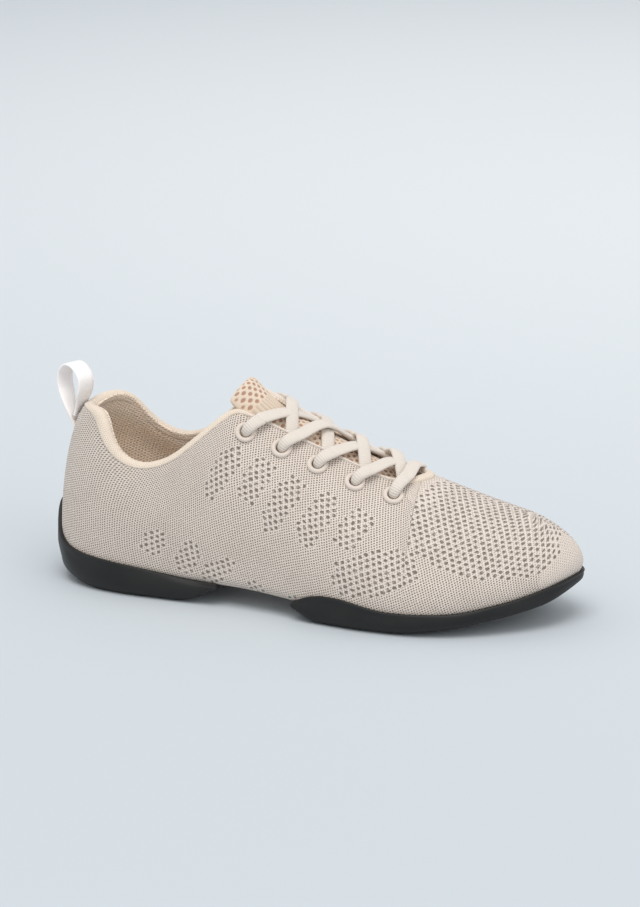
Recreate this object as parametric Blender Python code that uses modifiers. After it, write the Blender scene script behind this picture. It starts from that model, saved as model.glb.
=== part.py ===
# Split-sole dance sneaker, right shoe, women's EU 38 or so.
#
# Sizes are in millimetres and are turned into metres where a mesh is made.
# A station is the distance forward of the back of the heel. World +X points to the toe,
# world +Y to the inner side of the foot and +Z up. The origin lies on the floor under
# the middle of the heel, at station ORIGIN_STATION.

import math

import bmesh
import bpy
import numpy as np
from mathutils import Matrix, Vector

MM = 0.001

# Driving sizes
ORIGIN_STATION = 45.0
WALL = 2.2
COLLAR_WALL = 5.2
GAP = 0.35
WIDE_GAP = 0.55
FEATHER_RADIUS = 6.0
ROUND_HANDLE = 0.55 * FEATHER_RADIUS
TIP = 268.0
THROAT_FRONT = 185.0
PADDED_SHARES = (0.68, 0.98)
PADDING_FADES = (79.0, 95.0)
SOLE_LIP = 1.5
SOLE_FLOOR_INSET = 3.4
INSOLE_THICKNESS = 3.0
INSOLE_INSET = 5.8
LACE_WIDTH = 7.0
LACE_THICKNESS = 1.6
LACE_OVER_EDGE = 2.4
LACE_BESIDE_EDGE = 1.0
CROSSING_RISE = 4.0
UPPER_LACE_RISE = 2.2
BAR_RISE = 2.0
EYELET_RADIUS = 5.0
EYELET_HOLE_RADIUS = 2.7
EYELET_FROM_EDGE = 10.5
LOOP_WIDTH = 10.0
LOOP_THICKNESS = 1.3
LATERAL = -1.0
MEDIAL = 1.0


class Table:
    """Rows of numbers under named columns, read as smooth curves of the first column."""

    def __init__(self, columns, rows):
        self.columns = columns.split()
        self.rows = np.array(rows, float)

    def column(self, name):
        return self.rows[:, self.columns.index(name)]

    def at(self, name, where, level_ends=True):
        """Cubic pieces through the rows, which never swing past a row's value."""
        places = self.rows[:, 0]
        values = self.column(name)
        steps = np.diff(places)
        rises = np.diff(values) / steps
        slopes = np.zeros(len(values))
        same_sign = rises[:-1] * rises[1:] > 0
        before = 2 * steps[1:] + steps[:-1]
        after = steps[1:] + 2 * steps[:-1]
        safe = np.where(same_sign, rises[:-1], 1.0)
        safe_next = np.where(same_sign, rises[1:], 1.0)
        mean = (before + after) / (before / safe + after / safe_next)
        slopes[1:-1] = np.where(same_sign, mean, 0.0)
        if not level_ends:
            slopes[0] = rises[0]
            slopes[-1] = rises[-1]
        where = np.clip(np.asarray(where, float), places[0], places[-1])
        row = np.clip(np.searchsorted(places, where, side="right") - 1, 0, len(steps) - 1)
        share = (where - places[row]) / steps[row]
        return (
            values[row] * (1 + 2 * share) * (1 - share) ** 2
            + values[row + 1] * share ** 2 * (3 - 2 * share)
            + slopes[row] * steps[row] * share * (1 - share) ** 2
            - slopes[row + 1] * steps[row] * share ** 2 * (1 - share)
        )


# The feather line, where wall meets sole, seen from above. "along" counts from the back
# seam to the tip of the toe and is close to the station everywhere but at the two ends.
LATERAL_OUTLINE = Table("along x y", [
    (0, 0.0, 0.0),
    (6, 0.8, 7.5),
    (13, 4.6, 15.6),
    (22, 12.5, 22.8),
    (33, 26.0, 28.3),
    (47, 44.0, 31.0),
    (70, 70.0, 31.5),
    (95, 95.0, 33.0),
    (120, 120.0, 37.0),
    (145, 145.0, 41.5),
    (165, 165.0, 44.0),
    (185, 185.0, 43.5),
    (205, 205.0, 39.5),
    (225, 224.0, 31.0),
    (240, 238.5, 21.5),
    (253, 251.0, 10.5),
    (261, 257.0, 0.5),
    (TIP, 260.0, -9.0),
])
MEDIAL_OUTLINE = Table("along x y", [
    (0, 0.0, 0.0),
    (6, 0.8, 7.5),
    (13, 4.6, 15.6),
    (22, 12.5, 22.6),
    (33, 26.0, 28.0),
    (47, 44.0, 30.5),
    (70, 70.0, 29.0),
    (95, 95.0, 26.0),
    (120, 120.0, 27.0),
    (145, 145.0, 32.0),
    (165, 165.0, 37.5),
    (185, 185.0, 41.5),
    (205, 205.0, 42.5),
    (225, 225.0, 39.0),
    (240, 240.0, 32.5),
    (253, 252.0, 24.5),
    (261, 257.8, 16.5),
    (TIP, 260.0, 9.0),
])
# The line that both sides' sections meet on, under the foot.
MIDLINE = Table("along x y", [
    (0, 22.0, 0.0),
    (33, 32.0, 0.0),
    (47, 44.0, 0.0),
    (70, 70.0, 0.0),
    (95, 95.0, -2.5),
    (165, 165.0, -2.5),
    (205, 205.0, 2.0),
    (225, 222.0, 5.0),
    (240, 232.0, 7.5),
    (TIP, 242.0, 9.0),
])
# Heights by station: underside of the upper, bottom of the rubber.
HEIGHTS = Table("station under tread", [
    (-3, 12.5, 6.5),
    (2, 12.0, 5.0),
    (14, 11.5, 2.0),
    (28, 11.0, 0.0),
    (66, 10.6, 0.0),
    (78, 10.3, 2.2),
    (88, 10.2, 8.4),
    (105, 10.0, 9.0),
    (120, 9.2, 8.0),
    (131, 8.2, 6.2),
    (134, 7.8, 2.4),
    (138, 7.3, 0.0),
    (150, 6.2, 0.0),
    (165, 5.8, 0.0),
    (180, 5.8, 0.0),
    (195, 6.6, 1.6),
    (209, 8.5, 4.0),
    (223, 11.3, 6.8),
    (237, 14.8, 9.8),
    (248, 18.0, 12.6),
    (257, 21.0, 17.4),
    (264, 23.0, 21.5),
])
# Top edge of the rubber at the heel and at the forefoot, and how far its side stands out.
HEEL_LINE = Table("along line bulge", [
    (0, 37.0, 0.9),
    (4, 35.5, 0.9),
    (9, 28.5, 1.0),
    (14, 23.0, 1.2),
    (22, 19.5, 1.6),
    (34, 17.6, 1.9),
    (47, 16.2, 1.9),
    (60, 14.2, 1.8),
    (70, 12.6, 1.5),
    (80, 11.6, 1.2),
    (88, 11.4, 1.0),
])
FOREFOOT_LINE = Table("along line bulge", [
    (131, 10.4, 1.0),
    (135, 12.6, 1.3),
    (142, 15.2, 1.6),
    (150, 15.7, 1.8),
    (158, 15.0, 1.9),
    (168, 12.8, 1.9),
    (178, 11.4, 1.9),
    (200, 11.6, 1.8),
    (212, 12.6, 1.6),
    (225, 15.0, 1.3),
    (240, 18.4, 1.0),
    (253, 23.0, 0.8),
    (TIP, 26.5, 0.7),
])
# Share of the way from feather to midline that the upper's edge is turned in under the foot.
TURNED_IN = Table("along share", [
    (0, 0.5),
    (75, 0.42),
    (82, 0.7),
    (88, 1.0),
    (131, 1.0),
    (135, 0.7),
    (140, 0.5),
    (154, 0.36),
    (225, 0.42),
    (TIP, 0.55),
])
# The wall from feather to collar, back to the quarter's front corner. x y z is the top
# edge. The wall leaves it facing 0 to the back or 90 to the side, by "out" sideways and
# "drop" down, and rises from the feather leaning "lean" outwards in a height of "rise".
LATERAL_COLLAR = Table("along x y z facing out drop lean rise", [
    (0, 13.5, 0.0, 88.5, 0, 9.5, 11, 0.0, 30),
    (9, 15.2, 8.5, 90.2, 28, 9.0, 11, 0.5, 30),
    (18, 20.0, 16.5, 91.6, 55, 6.0, 13, 1.5, 30),
    (27, 28.0, 22.5, 90.0, 75, 5.0, 15, 2.5, 29),
    (34, 33.0, 25.8, 82.0, 86, 4.5, 16, 3.0, 27),
    (41, 37.5, 28.0, 73.0, 90, 4.0, 15, 3.5, 24),
    (50, 48.5, 29.2, 68.0, 90, 4.0, 14, 4.0, 21),
    (62, 61.0, 28.8, 71.0, 90, 4.5, 15, 4.0, 21),
    (76, 76.0, 25.5, 83.0, 90, 6.5, 18, 4.0, 27),
    (88, 87.5, 20.3, 93.2, 90, 10.5, 18, 4.0, 34),
    (95, 94.0, 15.8, 97.3, 90, 13.5, 17, 3.9, 37),
    (106, 105.0, 13.2, 92.2, 90, 15.0, 14.4, 3.8, 38),
])
MEDIAL_COLLAR = Table("along x y z facing out drop lean rise", [
    (0, 13.5, 0.0, 88.5, 0, 9.5, 11, 0.0, 30),
    (9, 15.2, 8.5, 90.2, 28, 9.0, 11, 0.5, 30),
    (18, 20.0, 16.5, 91.0, 55, 6.0, 13, 1.0, 30),
    (27, 28.0, 22.5, 88.5, 75, 5.0, 15, 1.5, 29),
    (34, 34.0, 25.6, 81.0, 86, 4.5, 16, 1.5, 27),
    (42, 42.0, 27.4, 73.5, 90, 4.0, 15, 1.5, 25),
    (54, 54.0, 28.0, 69.5, 90, 4.0, 14, 1.5, 24),
    (65, 65.0, 27.0, 72.5, 90, 4.5, 15, 1.5, 26),
    (78, 78.0, 24.5, 84.0, 90, 6.5, 18, 2.0, 34),
    (88, 88.0, 19.8, 94.5, 90, 8.0, 18, 2.3, 39),
    (95, 94.5, 15.6, 99.2, 90, 9.6, 15, 2.6, 42),
    (106, 105.0, 13.2, 95.7, 90, 11.4, 11.5, 3.0, 45),
])
# The wall from feather to ridge ahead of that corner, in the same terms. The ridge is the
# top of the vamp, and behind THROAT_FRONT the line that the cut throat would have met on.
RIDGE = Table("along x y z", [
    (94, 93.0, 2.0, 111.0),
    (101, 100.0, 2.0, 106.0),
    (112, 111.5, 2.0, 98.6),
    (121, 120.5, 2.0, 93.4),
    (130, 129.5, 2.0, 89.2),
    (150, 149.5, 2.0, 80.6),
    (168, 168.0, 2.0, 72.6),
    (THROAT_FRONT, 183.5, 2.5, 67.2),
    (197, 196.0, 3.5, 62.8),
    (212, 210.0, 5.0, 58.0),
    (226, 223.0, 7.0, 53.6),
    (240, 232.0, 9.0, 50.8),
    (248, 234.5, 9.0, 50.0),
    (TIP, 234.5, 9.0, 50.0),
])
LATERAL_VAMP = Table("along facing out drop lean rise", [
    (94, 90, 22.0, 14.0, 5.0, 50),
    (112, 90, 23.0, 12.0, 5.0, 51),
    (130, 90, 24.0, 9.5, 5.0, 46),
    (150, 90, 25.0, 7.0, 5.0, 36),
    (168, 90, 25.0, 4.0, 4.5, 27),
    (180, 90, 25.0, 1.0, 4.0, 20),
    (THROAT_FRONT, 90, 24.5, 0, 4.0, 18),
    (212, 90, 26.0, 0, 3.0, 15),
    (226, 90, 23.0, 0, 2.5, 13),
    (240, 95, 18.0, 0.5, 2.0, 11),
    (250, 125, 16.0, 3.5, 1.5, 9),
    (260, 155, 16.0, 5.6, 1.0, 8),
    (TIP, 180, 16.5, 6.3, 0.8, 8),
])
MEDIAL_VAMP = Table("along facing out drop lean rise", [
    (94, 90, 19.0, 8.0, 3.5, 58),
    (112, 90, 20.0, 6.5, 4.0, 57),
    (130, 90, 20.0, 5.0, 4.0, 50),
    (150, 90, 21.0, 4.5, 4.0, 37),
    (168, 90, 20.0, 3.0, 3.5, 28),
    (180, 90, 18.0, 0.6, 3.0, 22),
    (THROAT_FRONT, 90, 17.5, 0, 3.0, 20),
    (212, 90, 18.0, 0, 2.5, 16),
    (226, 90, 17.0, 0, 2.0, 14),
    (240, 95, 15.0, 0.5, 1.5, 11),
    (250, 125, 15.0, 3.4, 1.0, 9),
    (260, 155, 16.0, 5.6, 0.8, 8),
    (TIP, 180, 16.5, 6.3, 0.8, 8),
])
# Distance of the throat's two edges from the plane y = 0, round its front end.
THROAT = Table("along lateral medial", [
    (94, 15.0, 14.6),
    (101, 13.6, 13.3),
    (112, 12.6, 12.4),
    (168, 12.0, 12.0),
    (176, 10.0, 10.8),
    (181, 5.6, 8.0),
    (THROAT_FRONT, -2.5, 2.5),
])
# Between these sections the collar's wall hands over to the vamp's.
HAND_OVER = (90.0, 105.0)
# Middle line of the tongue's outer face, with the fall of its sides at TONGUE_SAG_AT from
# the middle, its half width and its thickness. TONGUE_MIDDLE is the middle line's y.
TONGUE_MIDDLE = 0.8
TONGUE_SAG_AT = 12.0
TONGUE = Table("place x z sag half thick", [
    (0, 192.0, 58.8, 2.2, 12.0, 1.8),
    (12, 181.0, 62.3, 2.5, 14.0, 2.0),
    (24, 170.0, 66.8, 3.2, 15.0, 2.4),
    (40, 155.0, 73.8, 4.2, 16.0, 2.6),
    (58, 138.5, 81.3, 5.0, 15.0, 2.6),
    (76, 122.0, 88.5, 6.2, 14.0, 2.8),
    (88, 111.5, 94.0, 7.2, 13.2, 3.4),
    (98, 103.8, 100.4, 7.8, 12.4, 4.6),
    (105, 98.6, 105.6, 7.4, 11.0, 5.6),
    (110, 95.6, 108.2, 6.4, 9.0, 5.0),
])
# Route of the pull loop's tape in the plane of the back seam: up from the seam, round
# above the collar and down again behind the first strand.
LOOP_ROUTE = Table("step x z", [
    (0, 4.1, 71.0),
    (1, 5.4, 76.0),
    (2, 4.2, 81.5),
    (3, 1.6, 88.0),
    (4, -1.4, 95.0),
    (5, -1.0, 101.5),
    (6, 3.5, 105.8),
    (7, 9.0, 105.0),
    (8, 13.2, 100.5),
    (9, 13.4, 95.0),
    (10, 11.0, 89.5),
    (11, 9.0, 85.2),
    (12, 7.0, 81.0),
])
EYELET_PLACES = (100.5, 118.5, 136.5, 155.0, 173.5)
# Where the sections of each piece stand, by "along". Upper and soles share theirs, so that
# their facets lie in each other.
HEEL_SECTIONS = (0, 4, 9, 14, 19, 24, 29, 34, 41, 48, 57, 66, 75, 82, 88)
SHANK_SECTIONS = (95, 101, 108, 116, 123)
FOREFOOT_SECTIONS = (
    131, 135, 140, 147, 154, 162, 170, 177, 182, THROAT_FRONT, 195, 205, 215, 225, 233, 240,
    246, 251, 256, 262, TIP,
)


def unit(vectors):
    return vectors / np.linalg.norm(vectors, axis=-1, keepdims=True)


def world(points):
    """Station millimetres to world metres."""
    return (np.asarray(points, float) - (ORIGIN_STATION, 0.0, 0.0)) * MM


def bezier(points, share):
    """Cubic curve of four control points, each an array of sections, at the given shares."""
    share = np.asarray(share, float)[None, :, None]
    a, b, c, d = (point[:, None, :] for point in points)
    rest = 1 - share
    return a * rest ** 3 + 3 * b * share * rest ** 2 + 3 * c * share ** 2 * rest + d * share ** 3


def feather(side, along):
    """Plan points of the feather line and the directions that face out from it."""
    outline = LATERAL_OUTLINE if side == LATERAL else MEDIAL_OUTLINE
    step = 0.01
    ahead = np.minimum(along + step, TIP)
    behind = np.maximum(along - step, 0.0)
    x = outline.at("x", along)
    y = outline.at("y", along, level_ends=False)
    run = outline.at("x", ahead) - outline.at("x", behind)
    swing = outline.at("y", ahead, level_ends=False) - outline.at("y", behind, level_ends=False)
    outward = unit(np.stack([-swing, run], axis=-1))
    outward[along <= 0.0] = (-1.0, 0.0)
    outward[along >= TIP] = (1.0, 0.0)
    points = np.stack([x, side * y], axis=-1)
    return points, outward * (1.0, side)


def midline(along):
    return np.stack([MIDLINE.at("x", along), MIDLINE.at("y", along)], axis=-1)


def wall_controls(side, along, base, outward, table, top):
    """Control points of the wall's curves from the feather points up to "top"."""
    facing = np.radians(table.at("facing", along))
    out = table.at("out", along)
    start = lift(outward * table.at("lean", along)[:, None], table.at("rise", along))
    leave = np.stack([
        -out * np.cos(facing),
        side * out * np.sin(facing),
        -table.at("drop", along),
    ], axis=-1)
    return np.stack([base, base + start, top + leave, top])


def lift(plan, height):
    """Plan points with a height each."""
    return np.concatenate([plan, np.reshape(height, (-1, 1))], axis=-1)


def cut_at_throat(side, along, controls):
    """Keeps the part of each curve below the throat's edge. The cut is made on the control
    points, by halving the curve where its distance from the middle is the edge's."""
    limit = THROAT.at("lateral" if side == LATERAL else "medial", along, level_ends=False)
    shares = np.linspace(0.3, 1.0, 141)
    sideways = side * bezier(controls, shares)[..., 1]
    keep = np.ones(len(along))
    for i in np.flatnonzero(along < THROAT_FRONT):
        keep[i] = np.interp(-limit[i], -sideways[i], shares)
    keep = keep[:, None]
    a, b, c, d = controls
    ab = a + (b - a) * keep
    bc = b + (c - b) * keep
    cd = c + (d - c) * keep
    abc = ab + (bc - ab) * keep
    bcd = bc + (cd - bc) * keep
    return np.stack([a, ab, abc, abc + (bcd - abc) * keep])


def wall_curves(side, along, base, outward):
    """The wall's curves, from the collar's table behind the quarter corner and from the
    vamp's ahead of it."""
    collar = LATERAL_COLLAR if side == LATERAL else MEDIAL_COLLAR
    collar_edge = np.stack([
        collar.at("x", along),
        side * collar.at("y", along, level_ends=False),
        collar.at("z", along, level_ends=False),
    ], axis=-1)
    behind = wall_controls(side, along, base, outward, collar, collar_edge)
    vamp = LATERAL_VAMP if side == LATERAL else MEDIAL_VAMP
    ridge = np.stack([
        RIDGE.at("x", along, level_ends=False),
        RIDGE.at("y", along),
        RIDGE.at("z", along, level_ends=False),
    ], axis=-1)
    ahead = wall_controls(side, along, base, outward, vamp, ridge)
    ahead = cut_at_throat(side, along, ahead)
    share = np.clip((along - HAND_OVER[0]) / (HAND_OVER[1] - HAND_OVER[0]), 0, 1)
    share = (share * share * (3 - 2 * share))[None, :, None]
    return behind + (ahead - behind) * share


def skin(side, along, wall_shares, turned_in=None):
    """Outer face of the upper: for each section the turned-in margin, the rounded feather
    and the wall, from the middle of the foot up to the top edge."""
    along = np.asarray(along, float)
    edge, outward = feather(side, along)
    centre = midline(along)
    inward = unit(centre - edge)
    reach = np.linalg.norm(centre - edge, axis=-1, keepdims=True)
    if turned_in is None:
        turned_in = np.minimum(TURNED_IN.at("share", along), 1.0)[:, None]
    margin = edge + inward * reach * turned_in
    corner = edge + inward * FEATHER_RADIUS
    under_margin = lift(margin, HEIGHTS.at("under", margin[:, 0]))
    under_corner = lift(corner, HEIGHTS.at("under", corner[:, 0]))
    feather_point = lift(edge, HEIGHTS.at("under", edge[:, 0]) + FEATHER_RADIUS)
    wall = wall_curves(side, along, feather_point, outward)
    start = wall[1] - wall[0]
    margin_rows = under_margin[:, None, :] + (
        (under_corner - under_margin)[:, None, :] * np.array([0.0, 0.5])[None, :, None]
    )
    round_rows = bezier((
        under_corner,
        under_corner - lift(inward * ROUND_HANDLE, 0 * along),
        feather_point - start * ROUND_HANDLE / start[:, 2:3],
        feather_point,
    ), (0.0, 0.35, 0.68))
    return np.concatenate([margin_rows, round_rows, bezier(wall, wall_shares)], axis=1)


def new_object(name, mesh, material, collection):
    thing = bpy.data.objects.new(name, mesh)
    collection.objects.link(thing)
    if material is not None:
        mesh.materials.append(material)
    return thing


def mesh_from_grids(name, grids, caps=(), weld=0.02):
    """One mesh of several grids of station points, with flat caps on some of their ends.
    A grid is a block of points, whether its faces are turned over, and a thickness share
    for each point or None. Points that meet are joined."""
    form = bmesh.new()
    shares = form.verts.layers.deform.verify()
    for points, flipped, thickness in grids:
        rows, columns = points.shape[:2]
        vertices = [[form.verts.new(point) for point in row] for row in world(points)]
        if thickness is not None:
            for i in range(rows):
                for j in range(columns):
                    vertices[i][j][shares][0] = thickness[i][j]
        for i in range(rows - 1):
            for j in range(columns - 1):
                corners = [
                    vertices[i][j],
                    vertices[i][j + 1],
                    vertices[i + 1][j + 1],
                    vertices[i + 1][j],
                ]
                if flipped:
                    corners.reverse()
                form.faces.new(corners)
    for outline, flipped in caps:
        corners = [form.verts.new(point) for point in world(outline)]
        if flipped:
            corners.reverse()
        form.faces.new(corners)
    bmesh.ops.remove_doubles(form, verts=form.verts, dist=weld * MM)
    bmesh.ops.dissolve_degenerate(form, edges=form.edges, dist=weld * MM)
    mesh = bpy.data.meshes.new(name)
    form.to_mesh(mesh)
    form.free()
    mesh.shade_smooth()
    return mesh


def plain_material(name, colour, roughness):
    material = bpy.data.materials.new(name)
    material.use_nodes = True
    shader = material.node_tree.nodes["Principled BSDF"]
    shader.inputs["Base Color"].default_value = (*colour, 1.0)
    shader.inputs["Roughness"].default_value = roughness
    shader.inputs["Metallic"].default_value = 0.0
    return material


def thicken(thing, thickness, offset, by_group=False, edge=0.0):
    """Gives an open surface its thickness, and rounds the cut edges if asked."""
    solid = thing.modifiers.new("Thickness", "SOLIDIFY")
    solid.thickness = thickness * MM
    solid.offset = offset
    solid.use_quality_normals = True
    if by_group:
        thing.vertex_groups.new(name="thickness")
        solid.vertex_group = "thickness"
    if edge:
        bevel = thing.modifiers.new("Round edges", "BEVEL")
        bevel.width = edge * MM
        bevel.segments = 2
        bevel.limit_method = "ANGLE"
        bevel.angle_limit = math.radians(50)


def skin_point(side, along, down, lift=0.0):
    """A point on the wall, "down" from its top edge and "lift" off it, and the normal."""
    shares = np.linspace(1.0, 0.3, 60)
    nearby = skin(side, [along - 0.5, along, along + 0.5], shares)[:, -len(shares):]
    path = nearby[1]
    travelled = np.concatenate([[0.0], np.cumsum(np.linalg.norm(np.diff(path, axis=0), axis=1))])
    place = np.array([np.interp(down, travelled, path[:, k]) for k in range(3)])
    index = int(np.clip(np.searchsorted(travelled, down), 1, len(shares) - 2))
    forward = nearby[2][index] - nearby[0][index]
    downward = path[index + 1] - path[index - 1]
    normal = unit(np.cross(forward, downward) * side)
    return place + normal * lift, normal


def tongue_frame(places):
    """Middle line of the tongue and its outward direction, in the plane y = 0."""
    x = TONGUE.at("x", places, level_ends=False)
    z = TONGUE.at("z", places, level_ends=False)
    along = np.stack([np.gradient(x, places), np.gradient(z, places)], axis=-1)
    along = unit(along)
    normal = np.stack([along[:, 1], 0 * x, -along[:, 0]], axis=-1)
    return np.stack([x, 0 * x + TONGUE_MIDDLE, z], axis=-1), normal


def tongue_surface(places, shares):
    """Outer face of the tongue. A share of -1 is its lateral side, 1 its medial side."""
    places = np.asarray(places, float)
    middle, normal = tongue_frame(places)
    sideways = TONGUE.at("half", places)[:, None] * np.asarray(shares, float)[None, :]
    distance = np.abs(sideways) / TONGUE_SAG_AT
    fall = np.where(distance < 1, distance ** 2, 2 * distance - 1)
    fall = fall * TONGUE.at("sag", places)[:, None]
    points = middle[:, None, :] - normal[:, None, :] * fall[..., None]
    points[..., 1] += sideways
    return points


def make_upper(material, collection, cutters):
    """One hollow knit shell, thick round the collar where it is padded."""
    along = np.array(HEEL_SECTIONS + SHANK_SECTIONS + FOREFOOT_SECTIONS, float)
    wall_shares = np.array([0.0, 0.13, 0.28, 0.44, 0.6, 0.75, 0.88, 1.0])
    grids = []
    for side in (LATERAL, MEDIAL):
        points = skin(side, along, wall_shares)
        shares = np.concatenate([np.zeros(points.shape[1] - len(wall_shares)), wall_shares])
        padding = np.interp(shares, PADDED_SHARES, (0.0, 1.0))[None, :]
        collar = np.interp(along, PADDING_FADES, (1.0, 0.0))[:, None]
        thickness = (WALL + (COLLAR_WALL - WALL) * padding * collar) / COLLAR_WALL
        grids.append((points, side == LATERAL, thickness))
    mesh = mesh_from_grids("upper", grids)
    upper = new_object("upper", mesh, material, collection)
    thicken(upper, COLLAR_WALL, -1.0, by_group=True, edge=0.7)
    holes = upper.modifiers.new("Eyelet holes", "BOOLEAN")
    holes.operand_type = "COLLECTION"
    holes.collection = cutters
    return upper


def place_on_skin(thing, side, along, lift):
    """Stands an object's own Z on the wall's normal, where an eyelet sits."""
    point, normal = skin_point(side, along, EYELET_FROM_EDGE, lift)
    turn = Vector(normal).to_track_quat("Z", "Y").to_matrix().to_4x4()
    thing.matrix_world = Matrix.Translation(Vector(world(point))) @ turn


def make_eyelets(material, collection, cutters):
    """Five raised rings a side, and the cutters for the holes under them."""
    tube = (EYELET_RADIUS - EYELET_HOLE_RADIUS) / 2
    bpy.ops.mesh.primitive_torus_add(
        major_radius=(EYELET_RADIUS - tube) * MM,
        minor_radius=tube * MM,
        major_segments=12,
        minor_segments=6,
    )
    pattern = bpy.context.object
    ring = pattern.data
    ring.shade_smooth()
    bpy.data.objects.remove(pattern)
    ring.materials.append(material)
    bpy.ops.mesh.primitive_cylinder_add(
        radius=(EYELET_HOLE_RADIUS - 0.3) * MM, depth=9 * MM, vertices=12
    )
    pattern = bpy.context.object
    punch = pattern.data
    bpy.data.objects.remove(pattern)
    for side, side_name in ((LATERAL, "outer"), (MEDIAL, "inner")):
        for number, along in enumerate(EYELET_PLACES, start=1):
            eyelet = bpy.data.objects.new(f"eyelet_{side_name}_{number}", ring)
            collection.objects.link(eyelet)
            place_on_skin(eyelet, side, along, tube + WIDE_GAP)
            hole = bpy.data.objects.new(f"eyelet_hole_{side_name}_{number}", punch)
            cutters.objects.link(hole)
            hole.hide_render = True
            hole.display_type = "WIRE"
            place_on_skin(hole, side, along, 0.0)


def sole_rings(side, along, line, bulge):
    """Closed cross-sections of a sole unit, from the middle of its bottom out and round to
    the middle of the tray that the upper sits in."""
    shares = np.linspace(0.0, 0.75, 40)
    bed = skin(side, along, shares, turned_in=1.0)
    edge, outward = feather(side, along)
    centre = midline(along)
    inward = unit(centre - edge)
    tangent = unit(np.gradient(bed, axis=1))
    away = -np.concatenate([inward, np.zeros((len(along), 1))], axis=-1)[:, None, :]
    forward_part = (tangent * away).sum(axis=-1, keepdims=True)
    up = np.array([0.0, 0.0, 1.0])
    grown = bed + WIDE_GAP * (away * tangent[..., 2:3] - up * forward_part)
    bottom = HEIGHTS.at("tread", edge[:, 0])
    grown[:, 0] = bed[:, 0] - up * WIDE_GAP
    rings = []
    for i in range(len(along)):
        rising = grown[i, 2:]
        rows = np.arange(len(rising))
        lip_row = np.interp(line[i], rising[:, 2], rows)
        places = np.minimum([lip_row, 3 + (lip_row - 3) * 0.5, 3, 2, 1, 0], lip_row)
        tray = np.stack([np.interp(places, rows, rising[:, k]) for k in range(3)], axis=-1)
        tray = np.concatenate([tray, grown[i, 1::-1]])
        out = np.append(outward[i], 0.0)
        wall_reach = (tray[0, :2] - edge[i]) @ outward[i]
        side_points = []
        for height, share in ((0.1, -0.5), (0.3, 0.5), (0.55, 1.0), (0.8, 1.0)):
            z = bottom[i] + height * (line[i] - bottom[i])
            row = np.interp(z, rising[:, 2], rows)
            inner = np.array([np.interp(row, rows, rising[:, k]) for k in range(2)])
            cover = (inner - edge[i]) @ outward[i] + SOLE_LIP * min(1, 2 * height)
            reach = max(share * bulge[i], cover)
            side_points.append(np.append(edge[i], z) + out * reach)
        lip = np.append(edge[i], line[i] - 0.4) + out * (wall_reach + SOLE_LIP)
        floor = []
        for share in (1.0, 0.5, 0.0):
            inset = edge[i] + inward[i] * SOLE_FLOOR_INSET
            plan = inset + (centre[i] - inset) * share
            floor.append(np.append(plan, HEIGHTS.at("tread", plan[0])))
        rings.append(np.concatenate([floor, side_points, [lip], tray]))
    return np.array(rings)


def make_sole(name, along, line_table, capped_end, material, collection):
    """A rubber unit from one half of sections a side, closed by a flat cut at one end."""
    along = np.array(along, float)
    grids = []
    caps = []
    for side in (LATERAL, MEDIAL):
        line = line_table.at("line", along)
        rings = sole_rings(side, along, line, line_table.at("bulge", along))
        grids.append((rings, side == LATERAL, None))
        at_end = capped_end == "front"
        outline = rings[-1] if at_end else rings[0]
        caps.append((outline, (side == LATERAL) == at_end))
    mesh = mesh_from_grids(name, grids, caps)
    return new_object(name, mesh, material, collection)


def make_insole(material, collection):
    """A footbed that lies on the turned-in edge of the upper and fills its round corner."""
    along = np.array(HEEL_SECTIONS[::2] + SHANK_SECTIONS[1::2] + FOREFOOT_SECTIONS[::2], float)
    bed = WALL + WIDE_GAP
    edge_profile = ((INSOLE_INSET, bed), (3.9, bed + 1.5), (3.4, bed + INSOLE_THICKNESS))
    grids = []
    for side in (LATERAL, MEDIAL):
        edge = feather(side, along)[0]
        centre = midline(along)
        inward = unit(centre - edge)
        columns = []
        half_way = (centre + edge + inward * INSOLE_INSET) / 2
        columns.append((centre, bed))
        columns.append((half_way, bed))
        for inset, height in edge_profile:
            columns.append((edge + inward * inset, height))
        columns.append((half_way, bed + INSOLE_THICKNESS))
        columns.append((centre, bed + INSOLE_THICKNESS))
        points = np.stack([
            np.column_stack([plan, HEIGHTS.at("under", plan[:, 0]) + height])
            for plan, height in columns
        ], axis=1)
        grids.append((points, side == LATERAL, None))
    mesh = mesh_from_grids("insole", grids)
    return new_object("insole", mesh, material, collection)


def make_tongue(material, collection):
    """A knit tongue under the laces, thicker at its top edge and thinner at its sides."""
    places = np.array([0, 10, 20, 31, 43, 55, 66, 76, 84, 91, 98, 104, 110])
    shares = np.array([-1, -0.8, -0.6, -0.4, -0.2, 0, 0.2, 0.4, 0.6, 0.8, 1])
    points = tongue_surface(places, shares)
    thickest = TONGUE.column("thick").max()
    thin_sides = 1 - 0.45 * np.abs(shares)[None, :] ** 4
    thickness = TONGUE.at("thick", places)[:, None] * thin_sides / thickest
    mesh = mesh_from_grids("tongue", [(points, False, thickness)])
    tongue = new_object("tongue", mesh, material, collection)
    thicken(tongue, thickest, -1.0, by_group=True, edge=0.8)
    return tongue


def ribbon(name, route, across, width, thickness, material, collection):
    """A flat tape along a route, "across" giving the direction of its width."""
    shares = np.array([-0.5, 0.5])
    points = route[:, None, :] + across[:, None, :] * (shares * width)[None, :, None]
    mesh = mesh_from_grids(name, [(points, False, None)])
    tape = new_object(name, mesh, material, collection)
    thicken(tape, thickness, 0.0)
    return tape


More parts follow.
